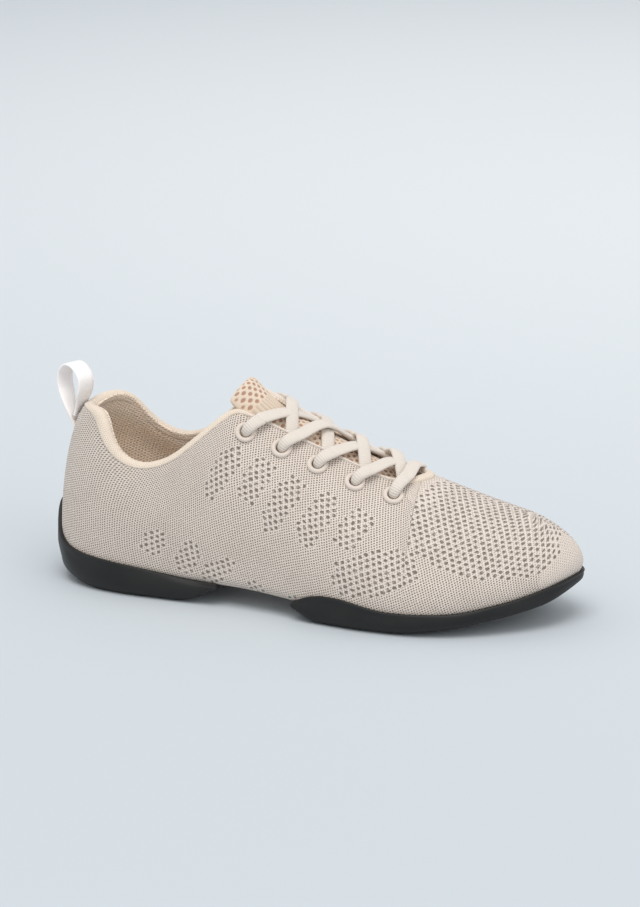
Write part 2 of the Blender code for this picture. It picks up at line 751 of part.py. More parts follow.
def lace_strip(name, stops, material, collection, pieces=11):
    """A lace through a few stops, each a point and the direction that faces out there."""
    places = [stop[0] for stop in stops]
    normals = [stop[1] for stop in stops]
    count = np.arange(len(stops))
    table = Table("stop x y z u v w", np.column_stack([count, places, normals]))
    steps = np.linspace(0, len(stops) - 1, pieces)
    route = np.stack([table.at(axis, steps, level_ends=False) for axis in "xyz"], axis=-1)
    facing = unit(np.stack([table.at(axis, steps) for axis in "uvw"], axis=-1))
    across = unit(np.cross(np.gradient(route, axis=0), facing))
    return ribbon(name, route, across, LACE_WIDTH, LACE_THICKNESS, material, collection)


def make_laces(material, collection, helpers):
    """The bar over the front eyelets and four crossings, joined into one solid."""
    half = LACE_THICKNESS / 2
    over_ring = EYELET_RADIUS - EYELET_HOLE_RADIUS + 2 * WIDE_GAP + half + 0.5
    over_edge = GAP + half + LACE_OVER_EDGE
    beside_edge = GAP + half + LACE_BESIDE_EDGE
    strips = []
    last = len(EYELET_PLACES) - 1
    for number in range(last):
        for side in (LATERAL, MEDIAL):
            near = EYELET_PLACES[number]
            far = EYELET_PLACES[number + 1]
            eyelet, eyelet_normal = skin_point(side, near, EYELET_FROM_EDGE, over_ring)
            edge, edge_normal = skin_point(side, near + 5, 1.0, over_edge)
            beside, beside_normal = skin_point(-side, far + 4, 1.0, beside_edge)
            middle = (edge + beside) / 2
            middle[2] += CROSSING_RISE + (UPPER_LACE_RISE if side == MEDIAL else 0.0)
            up = unit(edge_normal + beside_normal)
            stops = ((eyelet, eyelet_normal), (edge, edge_normal), (middle, up),
                     (beside, beside_normal))
            strips.append(lace_strip(f"lace_{number + 1}_{int(side)}", stops, material,
                                     collection if not strips else helpers))
    ends = [skin_point(side, EYELET_PLACES[last], EYELET_FROM_EDGE, over_ring)
            for side in (LATERAL, MEDIAL)]
    edges = [skin_point(side, EYELET_PLACES[last] + 3, 1.0, over_edge)
             for side in (LATERAL, MEDIAL)]
    middle = (edges[0][0] + edges[1][0]) / 2 + (0, 0, BAR_RISE)
    stops = (ends[0], edges[0], (middle, unit(edges[0][1] + edges[1][1])), edges[1], ends[1])
    lace_strip("lace_bar", stops, material, helpers)
    laces = strips[0]
    laces.name = "laces"
    for helper in helpers.objects:
        helper.hide_render = True
        helper.display_type = "WIRE"
    join = laces.modifiers.new("Join", "BOOLEAN")
    join.operation = "UNION"
    join.operand_type = "COLLECTION"
    join.collection = helpers
    return laces


def make_pull_loop(material, collection):
    """A woven tape, sewn flat to the back seam and looped above the collar."""
    steps = np.linspace(0, 12, 25)
    route = np.stack([
        LOOP_ROUTE.at("x", steps, level_ends=False),
        0 * steps,
        LOOP_ROUTE.at("z", steps, level_ends=False),
    ], axis=-1)
    across = np.tile([0.0, 1.0, 0.0], (len(steps), 1))
    return ribbon("pull_loop", route, across, LOOP_WIDTH, LOOP_THICKNESS, material, collection)


def build():
    for thing in list(bpy.data.objects):
        bpy.data.objects.remove(thing)
    sneaker = bpy.data.collections.new("dance_sneaker")
    cutters = bpy.data.collections.new("cutters")
    lace_helpers = bpy.data.collections.new("lace_strips")
    for collection in (sneaker, cutters, lace_helpers):
        bpy.context.scene.collection.children.link(collection)

    knit = plain_material("sand_knit", (0.62, 0.54, 0.46), 0.95)
    rubber = plain_material("black_rubber", (0.022, 0.022, 0.021), 0.55)
    mesh_knit = plain_material("cream_mesh", (0.72, 0.60, 0.50), 0.95)
    cord = plain_material("light_lace", (0.75, 0.69, 0.62), 0.9)
    footbed = plain_material("footbed", (0.60, 0.50, 0.40), 0.95)
    tape = plain_material("white_tape", (0.80, 0.75, 0.72), 0.85)

    make_eyelets(knit, sneaker, cutters)
    make_upper(knit, sneaker, cutters)
    make_sole("heel_sole", HEEL_SECTIONS, HEEL_LINE, "front", rubber, sneaker)
    make_sole("forefoot_sole", FOREFOOT_SECTIONS, FOREFOOT_LINE, "back", rubber, sneaker)
    make_insole(footbed, sneaker)
    make_tongue(mesh_knit, sneaker)
    make_laces(cord, sneaker, lace_helpers)
    make_pull_loop(tape, sneaker)


build()
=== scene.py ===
import math

import bmesh
import bpy
import numpy as np
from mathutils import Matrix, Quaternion, Vector

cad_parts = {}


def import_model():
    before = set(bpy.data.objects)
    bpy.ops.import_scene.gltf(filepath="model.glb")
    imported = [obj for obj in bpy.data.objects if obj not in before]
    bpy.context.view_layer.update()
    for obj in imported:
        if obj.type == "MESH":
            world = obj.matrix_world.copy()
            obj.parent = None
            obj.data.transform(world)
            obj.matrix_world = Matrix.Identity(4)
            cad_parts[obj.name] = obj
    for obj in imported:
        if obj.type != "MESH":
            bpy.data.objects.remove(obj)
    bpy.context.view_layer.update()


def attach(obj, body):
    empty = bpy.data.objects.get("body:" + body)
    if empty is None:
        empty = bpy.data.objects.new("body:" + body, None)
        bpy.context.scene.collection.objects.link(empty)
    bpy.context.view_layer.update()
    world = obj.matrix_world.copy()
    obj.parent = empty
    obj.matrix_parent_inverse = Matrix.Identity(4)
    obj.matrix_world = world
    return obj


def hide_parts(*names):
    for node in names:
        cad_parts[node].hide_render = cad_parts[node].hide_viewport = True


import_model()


# Camera
# It stands on the outer side of the shoe, a little ahead of it and above it, and is turned
# by the photograph's small roll.
CAMERA_PLACE = Vector((0.48625, -1.38188, 0.50379))
CAMERA_AIM = Vector((0.08425, 0.00678, 0.07038))
CAMERA_ROLL = math.radians(0.9)
CAMERA_LENS = 123.84


def put_in_scene(name, data):
    """An object that holds the data given."""
    thing = bpy.data.objects.new(name, data)
    bpy.context.scene.collection.objects.link(thing)
    return thing


camera_data = bpy.data.cameras.new("photo_camera")
camera_data.lens = CAMERA_LENS
camera_data.sensor_width = 36.0
camera_data.sensor_fit = "AUTO"
camera_data.clip_end = 100.0
camera = put_in_scene("photo_camera", camera_data)
camera.location = CAMERA_PLACE
camera.rotation_mode = "QUATERNION"
looking = (CAMERA_AIM - CAMERA_PLACE).to_track_quat("-Z", "Y")
camera.rotation_quaternion = looking @ Quaternion((0.0, 0.0, 1.0), CAMERA_ROLL)
bpy.context.scene.camera = camera


# Knit upper
# A flat-knitted sock of sand-coloured yarn, pulled over the last and turned in under the
# foot. Fine openings cover it, and bands of wide openings let air through at the sides.
ORIGIN_STATION = 45.0
LATERAL = -1.0
MEDIAL = 1.0
TIP = 268.0
THROAT_FRONT = 185.0
FEATHER_RADIUS = 6.0
ROUND_HANDLE = 0.55 * FEATHER_RADIUS
KNIT_THICKNESS = 1.2
SOFTNESS = 3.5
SOFT_STEPS = np.linspace(-2.0, 2.0, 9)
SOFT_WEIGHTS = np.exp(-SOFT_STEPS ** 2 / 2) / np.exp(-SOFT_STEPS ** 2 / 2).sum()


class Rows:
    """Rows of numbers under named columns, read as soft curves of the first column."""

    def __init__(self, columns, rows):
        self.columns = columns.split()
        self.rows = np.array(rows, float)

    def column(self, name):
        return self.rows[:, self.columns.index(name)]

    def through(self, name, where, level_ends):
        """Cubic pieces through the rows, which never swing past a row's value."""
        places = self.rows[:, 0]
        values = self.column(name)
        steps = np.diff(places)
        rises = np.diff(values) / steps
        slopes = np.zeros(len(values))
        same_sign = rises[:-1] * rises[1:] > 0
        before = 2 * steps[1:] + steps[:-1]
        after = steps[1:] + 2 * steps[:-1]
        safe = np.where(same_sign, rises[:-1], 1.0)
        safe_next = np.where(same_sign, rises[1:], 1.0)
        mean = (before + after) / (before / safe + after / safe_next)
        slopes[1:-1] = np.where(same_sign, mean, 0.0)
        if not level_ends:
            slopes[0] = rises[0]
            slopes[-1] = rises[-1]
        where = np.clip(where, places[0], places[-1])
        row = np.clip(np.searchsorted(places, where, side="right") - 1, 0, len(steps) - 1)
        share = (where - places[row]) / steps[row]
        return (
            values[row] * (1 + 2 * share) * (1 - share) ** 2
            + values[row + 1] * share ** 2 * (3 - 2 * share)
            + slopes[row] * steps[row] * share * (1 - share) ** 2
            - slopes[row + 1] * steps[row] * share ** 2 * (1 - share)
        )

    def at(self, name, where, level_ends=True):
        """The curve averaged over a few millimetres, less towards its two ends."""
        where = np.asarray(where, float)
        to_end = np.minimum(where - self.rows[0, 0], self.rows[-1, 0] - where)
        reach = np.clip(to_end / 2, 0.0, SOFTNESS)
        return sum(
            weight * self.through(name, where + step * reach, level_ends)
            for step, weight in zip(SOFT_STEPS, SOFT_WEIGHTS)
        )


# The feather line, where the wall meets the sole, seen from above.
OUTLINE = Rows("along lateral_x lateral_y medial_x medial_y", [
    (0, 0, 0, 0, 0),
    (6, 0.8, 7.5, 0.8, 7.5),
    (13, 4.6, 15.6, 4.6, 15.6),
    (22, 12.5, 22.8, 12.5, 22.6),
    (33, 26, 28.3, 26, 28),
    (47, 44, 31, 44, 30.5),
    (70, 70, 31.5, 70, 29),
    (95, 95, 33, 95, 26),
    (120, 120, 37, 120, 27),
    (145, 145, 41.5, 145, 32),
    (165, 165, 44, 165, 37.5),
    (185, 185, 43.5, 185, 41.5),
    (205, 205, 39.5, 205, 42.5),
    (225, 224, 31, 225, 39),
    (240, 238.5, 21.5, 240, 32.5),
    (253, 251, 10.5, 252, 24.5),
    (261, 257, 0.5, 257.8, 16.5),
    (TIP, 260, -9, 260, 9),
])
MIDLINE = Rows("along x y", [
    (0, 22, 0),
    (33, 32, 0),
    (47, 44, 0),
    (70, 70, 0),
    (95, 95, -2.5),
    (165, 165, -2.5),
    (205, 205, 2),
    (225, 222, 5),
    (240, 232, 7.5),
    (TIP, 242, 9),
])
HEIGHTS = Rows("station under tread", [
    (-3, 12.5, 6.5),
    (2, 12, 5),
    (14, 11.5, 2),
    (28, 11, 0),
    (66, 10.6, 0),
    (78, 10.3, 2.2),
    (88, 10.2, 8.4),
    (105, 10, 9),
    (120, 9.2, 8),
    (131, 8.2, 6.2),
    (134, 7.8, 2.4),
    (138, 7.3, 0),
    (150, 6.2, 0),
    (165, 5.8, 0),
    (180, 5.8, 0),
    (195, 6.6, 1.6),
    (209, 8.5, 4),
    (223, 11.3, 6.8),
    (237, 14.8, 9.8),
    (248, 18, 12.6),
    (257, 21, 17.4),
    (264, 23, 21.5),
])
TURNED_IN = Rows("along share", [
    (0, 0.5),
    (75, 0.42),
    (82, 0.7),
    (88, 1),
    (131, 1),
    (135, 0.7),
    (140, 0.5),
    (154, 0.36),
    (225, 0.42),
    (TIP, 0.55),
])
LATERAL_COLLAR = Rows("along x y z facing out drop lean rise", [
    (0, 13.5, 0, 88.5, 0, 9.5, 11, 0, 30),
    (9, 15.2, 8.5, 90.2, 28, 9, 11, 0.5, 30),
    (18, 20, 16.5, 91.6, 55, 6, 13, 1.5, 30),
    (27, 28, 22.5, 90, 75, 5, 15, 2.5, 29),
    (34, 33, 25.8, 82, 86, 4.5, 16, 3, 27),
    (41, 37.5, 28, 73, 90, 4, 15, 3.5, 24),
    (50, 48.5, 29.2, 68, 90, 4, 14, 4, 21),
    (62, 61, 28.8, 71, 90, 4.5, 15, 4, 21),
    (76, 76, 25.5, 83, 90, 6.5, 18, 4, 27),
    (88, 87.5, 20.3, 93.2, 90, 10.5, 18, 4, 34),
    (95, 94, 15.8, 97.3, 90, 13.5, 17, 3.9, 37),
    (106, 105, 13.2, 92.2, 90, 15, 14.4, 3.8, 38),
])
MEDIAL_COLLAR = Rows("along x y z facing out drop lean rise", [
    (0, 13.5, 0, 88.5, 0, 9.5, 11, 0, 30),
    (9, 15.2, 8.5, 90.2, 28, 9, 11, 0.5, 30),
    (18, 20, 16.5, 91, 55, 6, 13, 1, 30),
    (27, 28, 22.5, 88.5, 75, 5, 15, 1.5, 29),
    (34, 34, 25.6, 81, 86, 4.5, 16, 1.5, 27),
    (42, 42, 27.4, 73.5, 90, 4, 15, 1.5, 25),
    (54, 54, 28, 69.5, 90, 4, 14, 1.5, 24),
    (65, 65, 27, 72.5, 90, 4.5, 15, 1.5, 26),
    (78, 78, 24.5, 84, 90, 6.5, 18, 2, 34),
    (88, 88, 19.8, 94.5, 90, 8, 18, 2.3, 39),
    (95, 94.5, 15.6, 99.2, 90, 9.6, 15, 2.6, 42),
    (106, 105, 13.2, 95.7, 90, 11.4, 11.5, 3, 45),
])
RIDGE = Rows("along x y z", [
    (94, 93, 2, 111),
    (101, 100, 2, 106),
    (112, 111.5, 2, 98.6),
    (121, 120.5, 2, 93.4),
    (130, 129.5, 2, 89.2),
    (150, 149.5, 2, 80.6),
    (168, 168, 2, 72.6),
    (THROAT_FRONT, 183.5, 2.5, 67.2),
    (197, 196, 3.5, 62.8),
    (212, 210, 5, 58),
    (226, 223, 7, 53.6),
    (240, 232, 9, 50.8),
    (248, 234.5, 9, 50),
    (TIP, 234.5, 9, 50),
])
LATERAL_VAMP = Rows("along facing out drop lean rise", [
    (94, 90, 22, 14, 5, 50),
    (112, 90, 23, 12, 5, 51),
    (130, 90, 24, 9.5, 5, 46),
    (150, 90, 25, 7, 5, 36),
    (168, 90, 25, 4, 4.5, 27),
    (180, 90, 25, 1, 4, 20),
    (THROAT_FRONT, 90, 24.5, 0, 4, 18),
    (212, 90, 26, 0, 3, 15),
    (226, 90, 23, 0, 2.5, 13),
    (240, 95, 18, 0.5, 2, 11),
    (250, 125, 16, 3.5, 1.5, 9),
    (260, 155, 16, 5.6, 1, 8),
    (TIP, 180, 16.5, 6.3, 0.8, 8),
])
MEDIAL_VAMP = Rows("along facing out drop lean rise", [
    (94, 90, 19, 8, 3.5, 58),
    (112, 90, 20, 6.5, 4, 57),
    (130, 90, 20, 5, 4, 50),
    (150, 90, 21, 4.5, 4, 37),
    (168, 90, 20, 3, 3.5, 28),
    (180, 90, 18, 0.6, 3, 22),
    (THROAT_FRONT, 90, 17.5, 0, 3, 20),
    (212, 90, 18, 0, 2.5, 16),
    (226, 90, 17, 0, 2, 14),
    (240, 95, 15, 0.5, 1.5, 11),
    (250, 125, 15, 3.4, 1, 9),
    (260, 155, 16, 5.6, 0.8, 8),
    (TIP, 180, 16.5, 6.3, 0.8, 8),
])
THROAT = Rows("along lateral medial", [
    (94, 15, 14.6),
    (101, 13.6, 13.3),
    (112, 12.6, 12.4),
    (168, 12, 12),
    (176, 10, 10.8),
    (181, 5.6, 8),
    (THROAT_FRONT, -2.5, 2.5),
])
HAND_OVER = (90.0, 105.0)


def unit(vectors):
    """Vectors at length one. Those of no length stay as they are."""
    return vectors / np.maximum(np.linalg.norm(vectors, axis=-1, keepdims=True), 1e-9)


def world(points):
    """Station millimetres to world metres. Stations count x forward of the back of the
    heel, y to the inner side and z up from the floor."""
    return (np.asarray(points, float) - (ORIGIN_STATION, 0.0, 0.0)) * 0.001


def ease(share):
    """A share that starts and ends softly: three of its squares less two of its cubes."""
    return share * share * (3 - 2 * share)


def travel(points, axis=0):
    """Distance travelled along one axis of a grid of points, from nought."""
    steps = np.linalg.norm(np.diff(points, axis=axis), axis=-1)
    start = np.zeros_like(np.take(steps, [0], axis=axis))
    return np.concatenate([start, steps.cumsum(axis=axis)], axis=axis)


def lift(plan, height):
    """Plan points with a height each."""
    return np.concatenate([plan, np.reshape(height, (-1, 1))], axis=-1)


def bezier(points, share):
    """Cubic curve of four control points, each an array of sections, at the given shares."""
    share = np.asarray(share, float)[None, :, None]
    a, b, c, d = (point[:, None, :] for point in points)
    rest = 1 - share
    return a * rest ** 3 + 3 * b * share * rest ** 2 + 3 * c * share ** 2 * rest + d * share ** 3


def feather(side, along):
    """Plan points of the feather line and the directions that face out from it."""
    name = "lateral" if side == LATERAL else "medial"
    places = (along, np.minimum(along + 0.05, TIP), np.maximum(along - 0.05, 0.0))
    x, x_ahead, x_behind = (OUTLINE.at(name + "_x", place) for place in places)
    y, y_ahead, y_behind = (
        OUTLINE.at(name + "_y", place, level_ends=False) for place in places
    )
    outward = unit(np.stack([y_behind - y_ahead, x_ahead - x_behind], axis=-1))
    outward[along <= 0.0] = (-1.0, 0.0)
    outward[along >= TIP] = (1.0, 0.0)
    return np.stack([x, side * y], axis=-1), outward * (1.0, side)


def midline(along):
    """Points of the line under the foot where both sides' sections meet."""
    return np.stack([MIDLINE.at("x", along), MIDLINE.at("y", along)], axis=-1)


def wall_controls(side, along, base, outward, table, top):
    """Control points of the wall's curves from the feather points up to "top"."""
    facing = np.radians(table.at("facing", along))
    out = table.at("out", along)
    start = lift(outward * table.at("lean", along)[:, None], table.at("rise", along))
    leave = np.stack([
        -out * np.cos(facing),
        side * out * np.sin(facing),
        -table.at("drop", along),
    ], axis=-1)
    return np.stack([base, base + start, top + leave, top])


def cut_at_throat(side, along, controls):
    """Keeps the part of each curve below the throat's edge, cut on its control points."""
    limit = THROAT.at("lateral" if side == LATERAL else "medial", along, level_ends=False)
    shares = np.linspace(0.3, 1.0, 281)
    sideways = side * bezier(controls, shares)[..., 1]
    keep = np.ones(len(along))
    for i in np.flatnonzero(along < THROAT_FRONT):
        keep[i] = np.interp(-limit[i], -sideways[i], shares)
    keep = keep[:, None]
    a, b, c, d = controls
    ab = a + (b - a) * keep
    bc = b + (c - b) * keep
    cd = c + (d - c) * keep
    abc = ab + (bc - ab) * keep
    bcd = bc + (cd - bc) * keep
    return np.stack([a, ab, abc, abc + (bcd - abc) * keep])


def wall_curves(side, along, base, outward):
    """The collar's curves behind the quarter corner, which hand over to the vamp's."""
    collar = LATERAL_COLLAR if side == LATERAL else MEDIAL_COLLAR
    collar_edge = np.stack([
        collar.at("x", along),
        side * collar.at("y", along, level_ends=False),
        collar.at("z", along, level_ends=False),
    ], axis=-1)
    behind = wall_controls(side, along, base, outward, collar, collar_edge)
    vamp = LATERAL_VAMP if side == LATERAL else MEDIAL_VAMP
    ridge = np.stack([
        RIDGE.at("x", along, level_ends=False),
        RIDGE.at("y", along),
        RIDGE.at("z", along, level_ends=False),
    ], axis=-1)
    ahead = wall_controls(side, along, base, outward, vamp, ridge)
    ahead = cut_at_throat(side, along, ahead)
    share = ease(np.interp(along, HAND_OVER, (0.0, 1.0)))
    return behind + (ahead - behind) * share[None, :, None]


def sections(side, along, rows, turned_in=None):
    """Outer face of the upper. For each section: the turned-in margin, the round feather
    and the wall at even distances up to its top edge. Also gives each point's distance up
    the section from the feather."""
    edge, outward = feather(side, along)
    centre = midline(along)
    inward = unit(centre - edge)
    reach = np.linalg.norm(centre - edge, axis=-1, keepdims=True)
    if turned_in is None:
        turned_in = np.minimum(TURNED_IN.through("share", along, True), 1.0)[:, None]
    margin = edge + inward * reach * turned_in
    corner = edge + inward * FEATHER_RADIUS
    under_margin = lift(margin, HEIGHTS.at("under", margin[:, 0]))
    under_corner = lift(corner, HEIGHTS.at("under", corner[:, 0]))
    base = lift(edge, HEIGHTS.at("under", edge[:, 0]) + FEATHER_RADIUS)
    controls = wall_curves(side, along, base, outward)
    start = controls[1] - controls[0]
    margin_rows = under_margin[:, None, :] + (
        (under_corner - under_margin)[:, None, :] * np.linspace(0, 1, 5)[None, :-1, None]
    )
    round_rows = bezier((
        under_corner,
        under_corner - lift(inward * ROUND_HANDLE, 0 * along),
        base - start * ROUND_HANDLE / start[:, 2:3],
        base,
    ), np.linspace(0, 1, 7)[:-1])
    dense = bezier(controls, np.linspace(0, 1, 161))
    wall = np.empty((len(along), rows, 3))
    for i, (line, girth) in enumerate(zip(dense, travel(dense, axis=1))):
        wanted = np.linspace(0, girth[-1], rows)
        for axis in range(3):
            wall[i, :, axis] = np.interp(wanted, girth, line[:, axis])
    points = np.concatenate([margin_rows, round_rows, wall], axis=1)
    up = travel(points, axis=1)
    return points, up - up[:, -rows, None]


def facing_out(side, points):
    """Unit normals of a grid of sections, from the run of its rows and columns."""
    normals = np.cross(np.gradient(points, axis=1), np.gradient(points, axis=0)) * side
    short = np.linalg.norm(normals, axis=-1) < 1e-3
    normals = unit(normals)
    for row in range(1, points.shape[1]):
        normals[short[:, row], row] = normals[short[:, row], row - 1]
    return normals


ROW_SLOPE = math.radians(24.0)


def cloth_map(points, up, along):
    """Places on the knit in millimetres. Both count from the throat's front end, the first
    along the rows and the second across them. The rows fall forward at the slope of the
    throat's edge and of the crest, so that both sides' rows meet there."""
    run = travel(points)
    front = int(np.argmin(np.abs(along - THROAT_FRONT)))
    run = run - run[front]
    rise = up - up[front, -1]
    cosine = math.cos(ROW_SLOPE)
    sine = math.sin(ROW_SLOPE)
    return np.stack([run * cosine - rise * sine, rise * cosine + run * sine], axis=-1)


def grid_faces(rows, columns, turned, round_rows=False, round_columns=False):
    """Four-cornered faces between neighbouring points of a grid, counted row by row."""
    i = np.arange(rows if round_rows else rows - 1)
    j = np.arange(columns if round_columns else columns - 1)
    i, j = (axis.ravel() for axis in np.meshgrid(i, j, indexing="ij"))
    next_i = (i + 1) % rows
    next_j = (j + 1) % columns
    corners = [i * columns + j, i * columns + next_j,
               next_i * columns + next_j, next_i * columns + j]
    faces = np.stack(corners, axis=-1)
    return faces[:, ::-1] if turned else faces


def sheet(points, places, turned, round_rows=False, round_columns=False):
    """One sheet of a piece: a grid of points, its cloth map and its faces."""
    return points, places, grid_faces(*points.shape[:2], turned, round_rows, round_columns)


MAP_SPAN = 300.0


def piece(name, sheets, finish, weld=0.02, values=None, closed=True):
    """One object from sheets of station points, welded where they meet. "values" names
    further numbers, one for each point."""
    points = np.concatenate([grid.reshape(-1, 3) for grid, _, _ in sheets])
    places = np.concatenate([cloth.reshape(-1, 2) for _, cloth, _ in sheets])
    starts = np.cumsum([0] + [grid.size // 3 for grid, _, _ in sheets[:-1]])
    faces = np.concatenate([corners + start for (_, _, corners), start in zip(sheets, starts)])
    mesh = bpy.data.meshes.new(name)
    mesh.from_pydata(world(points).tolist(), [], faces.tolist())
    corner = np.empty(len(mesh.loops), np.int32)
    mesh.loops.foreach_get("vertex_index", corner)
    cloth = mesh.uv_layers.new(name="cloth")
    cloth.uv.foreach_set("vector", (places[corner] / MAP_SPAN).astype(np.float32).ravel())
    for key, numbers in (values or {}).items():
        layer = mesh.attributes.new(key, "FLOAT", "POINT")
        layer.data.foreach_set("value", np.asarray(numbers, np.float32).ravel())
    mesh.materials.append(finish)
    thing = put_in_scene(name, mesh)
    form = bmesh.new()
    form.from_mesh(mesh)
    if weld:
        bmesh.ops.remove_doubles(form, verts=form.verts, dist=weld * 0.001)
        bmesh.ops.dissolve_degenerate(form, edges=form.edges, dist=weld * 0.0005)
    if closed:
        bmesh.ops.recalc_face_normals(form, faces=form.faces)
    form.to_mesh(mesh)
    form.free()
    mesh.shade_smooth()
    return thing


def thicken(thing, thickness):
    """Gives an open sheet its thickness, inwards."""
    solid = thing.modifiers.new("Thickness", "SOLIDIFY")
    solid.thickness = thickness * 0.001
    solid.offset = -1.0
    solid.use_quality_normals = True


class Wiring:
    """Adds nodes to a node tree and joins them, one call for each node."""

    def __init__(self, tree):
        self.tree = tree

    def fill(self, node, inputs):
        """Sets a node's inputs, or joins them to other nodes, and gives its outputs."""
        pairs = inputs.items() if isinstance(inputs, dict) else enumerate(inputs)
        for key, value in pairs:
            if isinstance(value, bpy.types.NodeSocket):
                self.tree.links.new(value, node.inputs[key])
            else:
                node.inputs[key].default_value = value
        return node.outputs

    def add(self, kind, inputs=(), output=0, **settings):
        node = self.tree.nodes.new(kind)
        for key, value in settings.items():
            setattr(node, key, value)
        return self.fill(node, inputs)[output]

    def effect(self, tree, inputs):
        """A shared effect's outputs."""
        node = self.tree.nodes.new("ShaderNodeGroup")
        node.node_tree = tree
        return self.fill(node, inputs)

    def split(self, vector):
        """A vector's three numbers."""
        return self.fill(self.tree.nodes.new("ShaderNodeSeparateXYZ"), (vector,))

    def math(self, operation, *inputs):
        return self.add("ShaderNodeMath", inputs, operation=operation)

    def plus(self, *inputs):
        return self.math("ADD", *inputs)

    def less(self, *inputs):
        return self.math("SUBTRACT", *inputs)

    def times(self, *inputs):
        return self.math("MULTIPLY", *inputs)

    def vector(self, operation, *inputs):
        return self.add("ShaderNodeVectorMath", inputs, operation=operation)

    def fade(self, value, low, high, at_low=0.0, at_high=1.0):
        """A smooth step of a value from one number to another."""
        return self.add("ShaderNodeMapRange", (value, low, high, at_low, at_high),
                        interpolation_type="SMOOTHSTEP")

    def colour(self, share, first, second):
        """The first colour turning into the second by a share."""
        return self.add("ShaderNodeMix", {0: share, 6: first, 7: second}, 2, data_type="RGBA")

    def noise(self, place, scale, detail=2.0):
        return self.add("ShaderNodeTexNoise", {"Vector": place, "Scale": scale, "Detail": detail})


def group(name, inputs, outputs):
    """A shared effect with named inputs and outputs, and the wiring inside it."""
    tree = bpy.data.node_groups.new(name, "ShaderNodeTree")
    for key, kind in inputs.items():
        tree.interface.new_socket(name=key, in_out="INPUT", socket_type=f"NodeSocket{kind}")
    for key, kind in outputs.items():
        tree.interface.new_socket(name=key, in_out="OUTPUT", socket_type=f"NodeSocket{kind}")
    entry = tree.nodes.new("NodeGroupInput")
    leave = tree.nodes.new("NodeGroupOutput")
    return tree, Wiring(tree), entry.outputs, leave.inputs


def openings_group():
    """Staggered openings. The cloth is cut into rows of cells, each second row half a cell
    on, with a round or oval opening in the middle of each cell."""
    tree, wire, given, result = group(
        "staggered_openings",
        {"Map": "Vector", "Pitch": "Float", "Row": "Float", "Radius": "Float", "Oval": "Float"},
        {"Opening": "Float", "Cell Along": "Float", "Cell Up": "Float"},
    )
    along, height, _ = wire.split(given["Map"])
    rows = wire.math("DIVIDE", height, given["Row"])
    row = wire.math("FLOOR", rows)
    shift = wire.math("FRACT", wire.times(row, 0.5))
    cells = wire.plus(wire.math("DIVIDE", along, given["Pitch"]), shift)
    cell = wire.math("FLOOR", cells)
    across = wire.less(wire.less(cells, cell), 0.5)
    across = wire.math("DIVIDE", wire.times(across, given["Pitch"]), given["Oval"])
    up = wire.less(wire.less(rows, row), 0.5)
    up = wire.times(up, given["Row"])
    squares = wire.plus(wire.math("POWER", across, 2.0), wire.math("POWER", up, 2.0))
    away = wire.math("SQRT", squares)
    inner = wire.times(given["Radius"], 0.45)
    opening = wire.fade(away, inner, given["Radius"], 1.0, 0.0)
    tree.links.new(opening, result["Opening"])
    middle = wire.less(wire.plus(cell, 0.5), shift)
    tree.links.new(wire.times(middle, given["Pitch"]), result["Cell Along"])
    middle = wire.plus(row, 0.5)
    tree.links.new(wire.times(middle, given["Row"]), result["Cell Up"])
    return tree


def zone_group():
    """One where a point lies in a slanted zone with rounded corners, else nought. The sum
    of the cubes of its distances, as shares of the half length and half width, is under 1."""
    tree, wire, given, result = group(
        "knit_zone",
        {"Along": "Float", "Up": "Float", "Middle Along": "Float", "Middle Up": "Float",
         "Half Length": "Float", "Half Width": "Float", "Slant": "Float"},
        {"Inside": "Float"},
    )
    x = wire.less(given["Along"], given["Middle Along"])
    y = wire.less(given["Up"], given["Middle Up"])
    cosine = wire.math("COSINE", given["Slant"])
    sine = wire.math("SINE", given["Slant"])
    long = wire.plus(wire.times(x, cosine), wire.times(y, sine))
    wide = wire.less(wire.times(y, cosine), wire.times(x, sine))
    cubes = [
        wire.math("POWER", wire.math("ABSOLUTE", wire.math("DIVIDE", span, half)), 3.0)
        for span, half in ((long, given["Half Length"]), (wide, given["Half Width"]))
    ]
    inside = wire.math("LESS_THAN", wire.plus(*cubes), 1.0)
    tree.links.new(inside, result["Inside"])
    return tree


STAGGERED = openings_group()
KNIT_ZONE = zone_group()
# Bands of wide openings: their middle on the cloth map, half sizes and slant in degrees.
OPEN_ZONES = Rows("along up length width slant", [
    (-81.5, -65, 6.2, 13.8, 3),
    (-64, -59.5, 6.4, 11.5, 10),
    (-46.8, -60.5, 6.4, 15.5, 5),
    (-28.7, -55.5, 6.6, 14.5, 5),
    (-11, -49.5, 6.4, 11, 6),
    (11.5, -61, 21.5, 11, 38),
    (45, -16, 37, 29.5, 0),
    (72, -30, 25, 13.5, 12),
    (-92.5, -112.5, 6.4, 7.2, 0),
    (-73.5, -110, 6, 8.4, 0),
    (-57, -107.5, 9.4, 5.4, 59),
    (-36.5, -104, 4.4, 3.8, 0),
    (-17, -98, 2.8, 2.4, 0),
])
# Zones of plain dense knit: in front of the throat and at the toe tip.
PLAIN_ZONES = Rows("along up length width slant", [
    (5, -6, 12, 18, 0),
    (106, -16, 20, 42, 12),
])
# Openings of the knit in millimetres: pitch along a row, row height, radius, and how much
# longer than high they are.
FINE_KNIT = (1.62, 0.95, 0.47, 1.0)
WIDE_KNIT = (3.8, 2.2, 0.95, 1.3)
YARN = (0.78, 0.685, 0.605, 1.0)
# A darker yarn tone that the knit mixes in at random; the eyelets use it as painted shade in the
# furrows between their threads.
YARN_DARK_TONE_AND_FURROW_SHADE = (0.67, 0.575, 0.50, 1.0)
RAISED_YARN = (0.86, 0.775, 0.70, 1.0)
# Painted shade: the openings' colours stand in for the shade inside them, tinted like the lining
# seen through.
FINE_OPENING_SHADE = (0.20, 0.155, 0.12, 1.0)
WIDE_OPENING_SHADE = (0.19, 0.14, 0.105, 1.0)


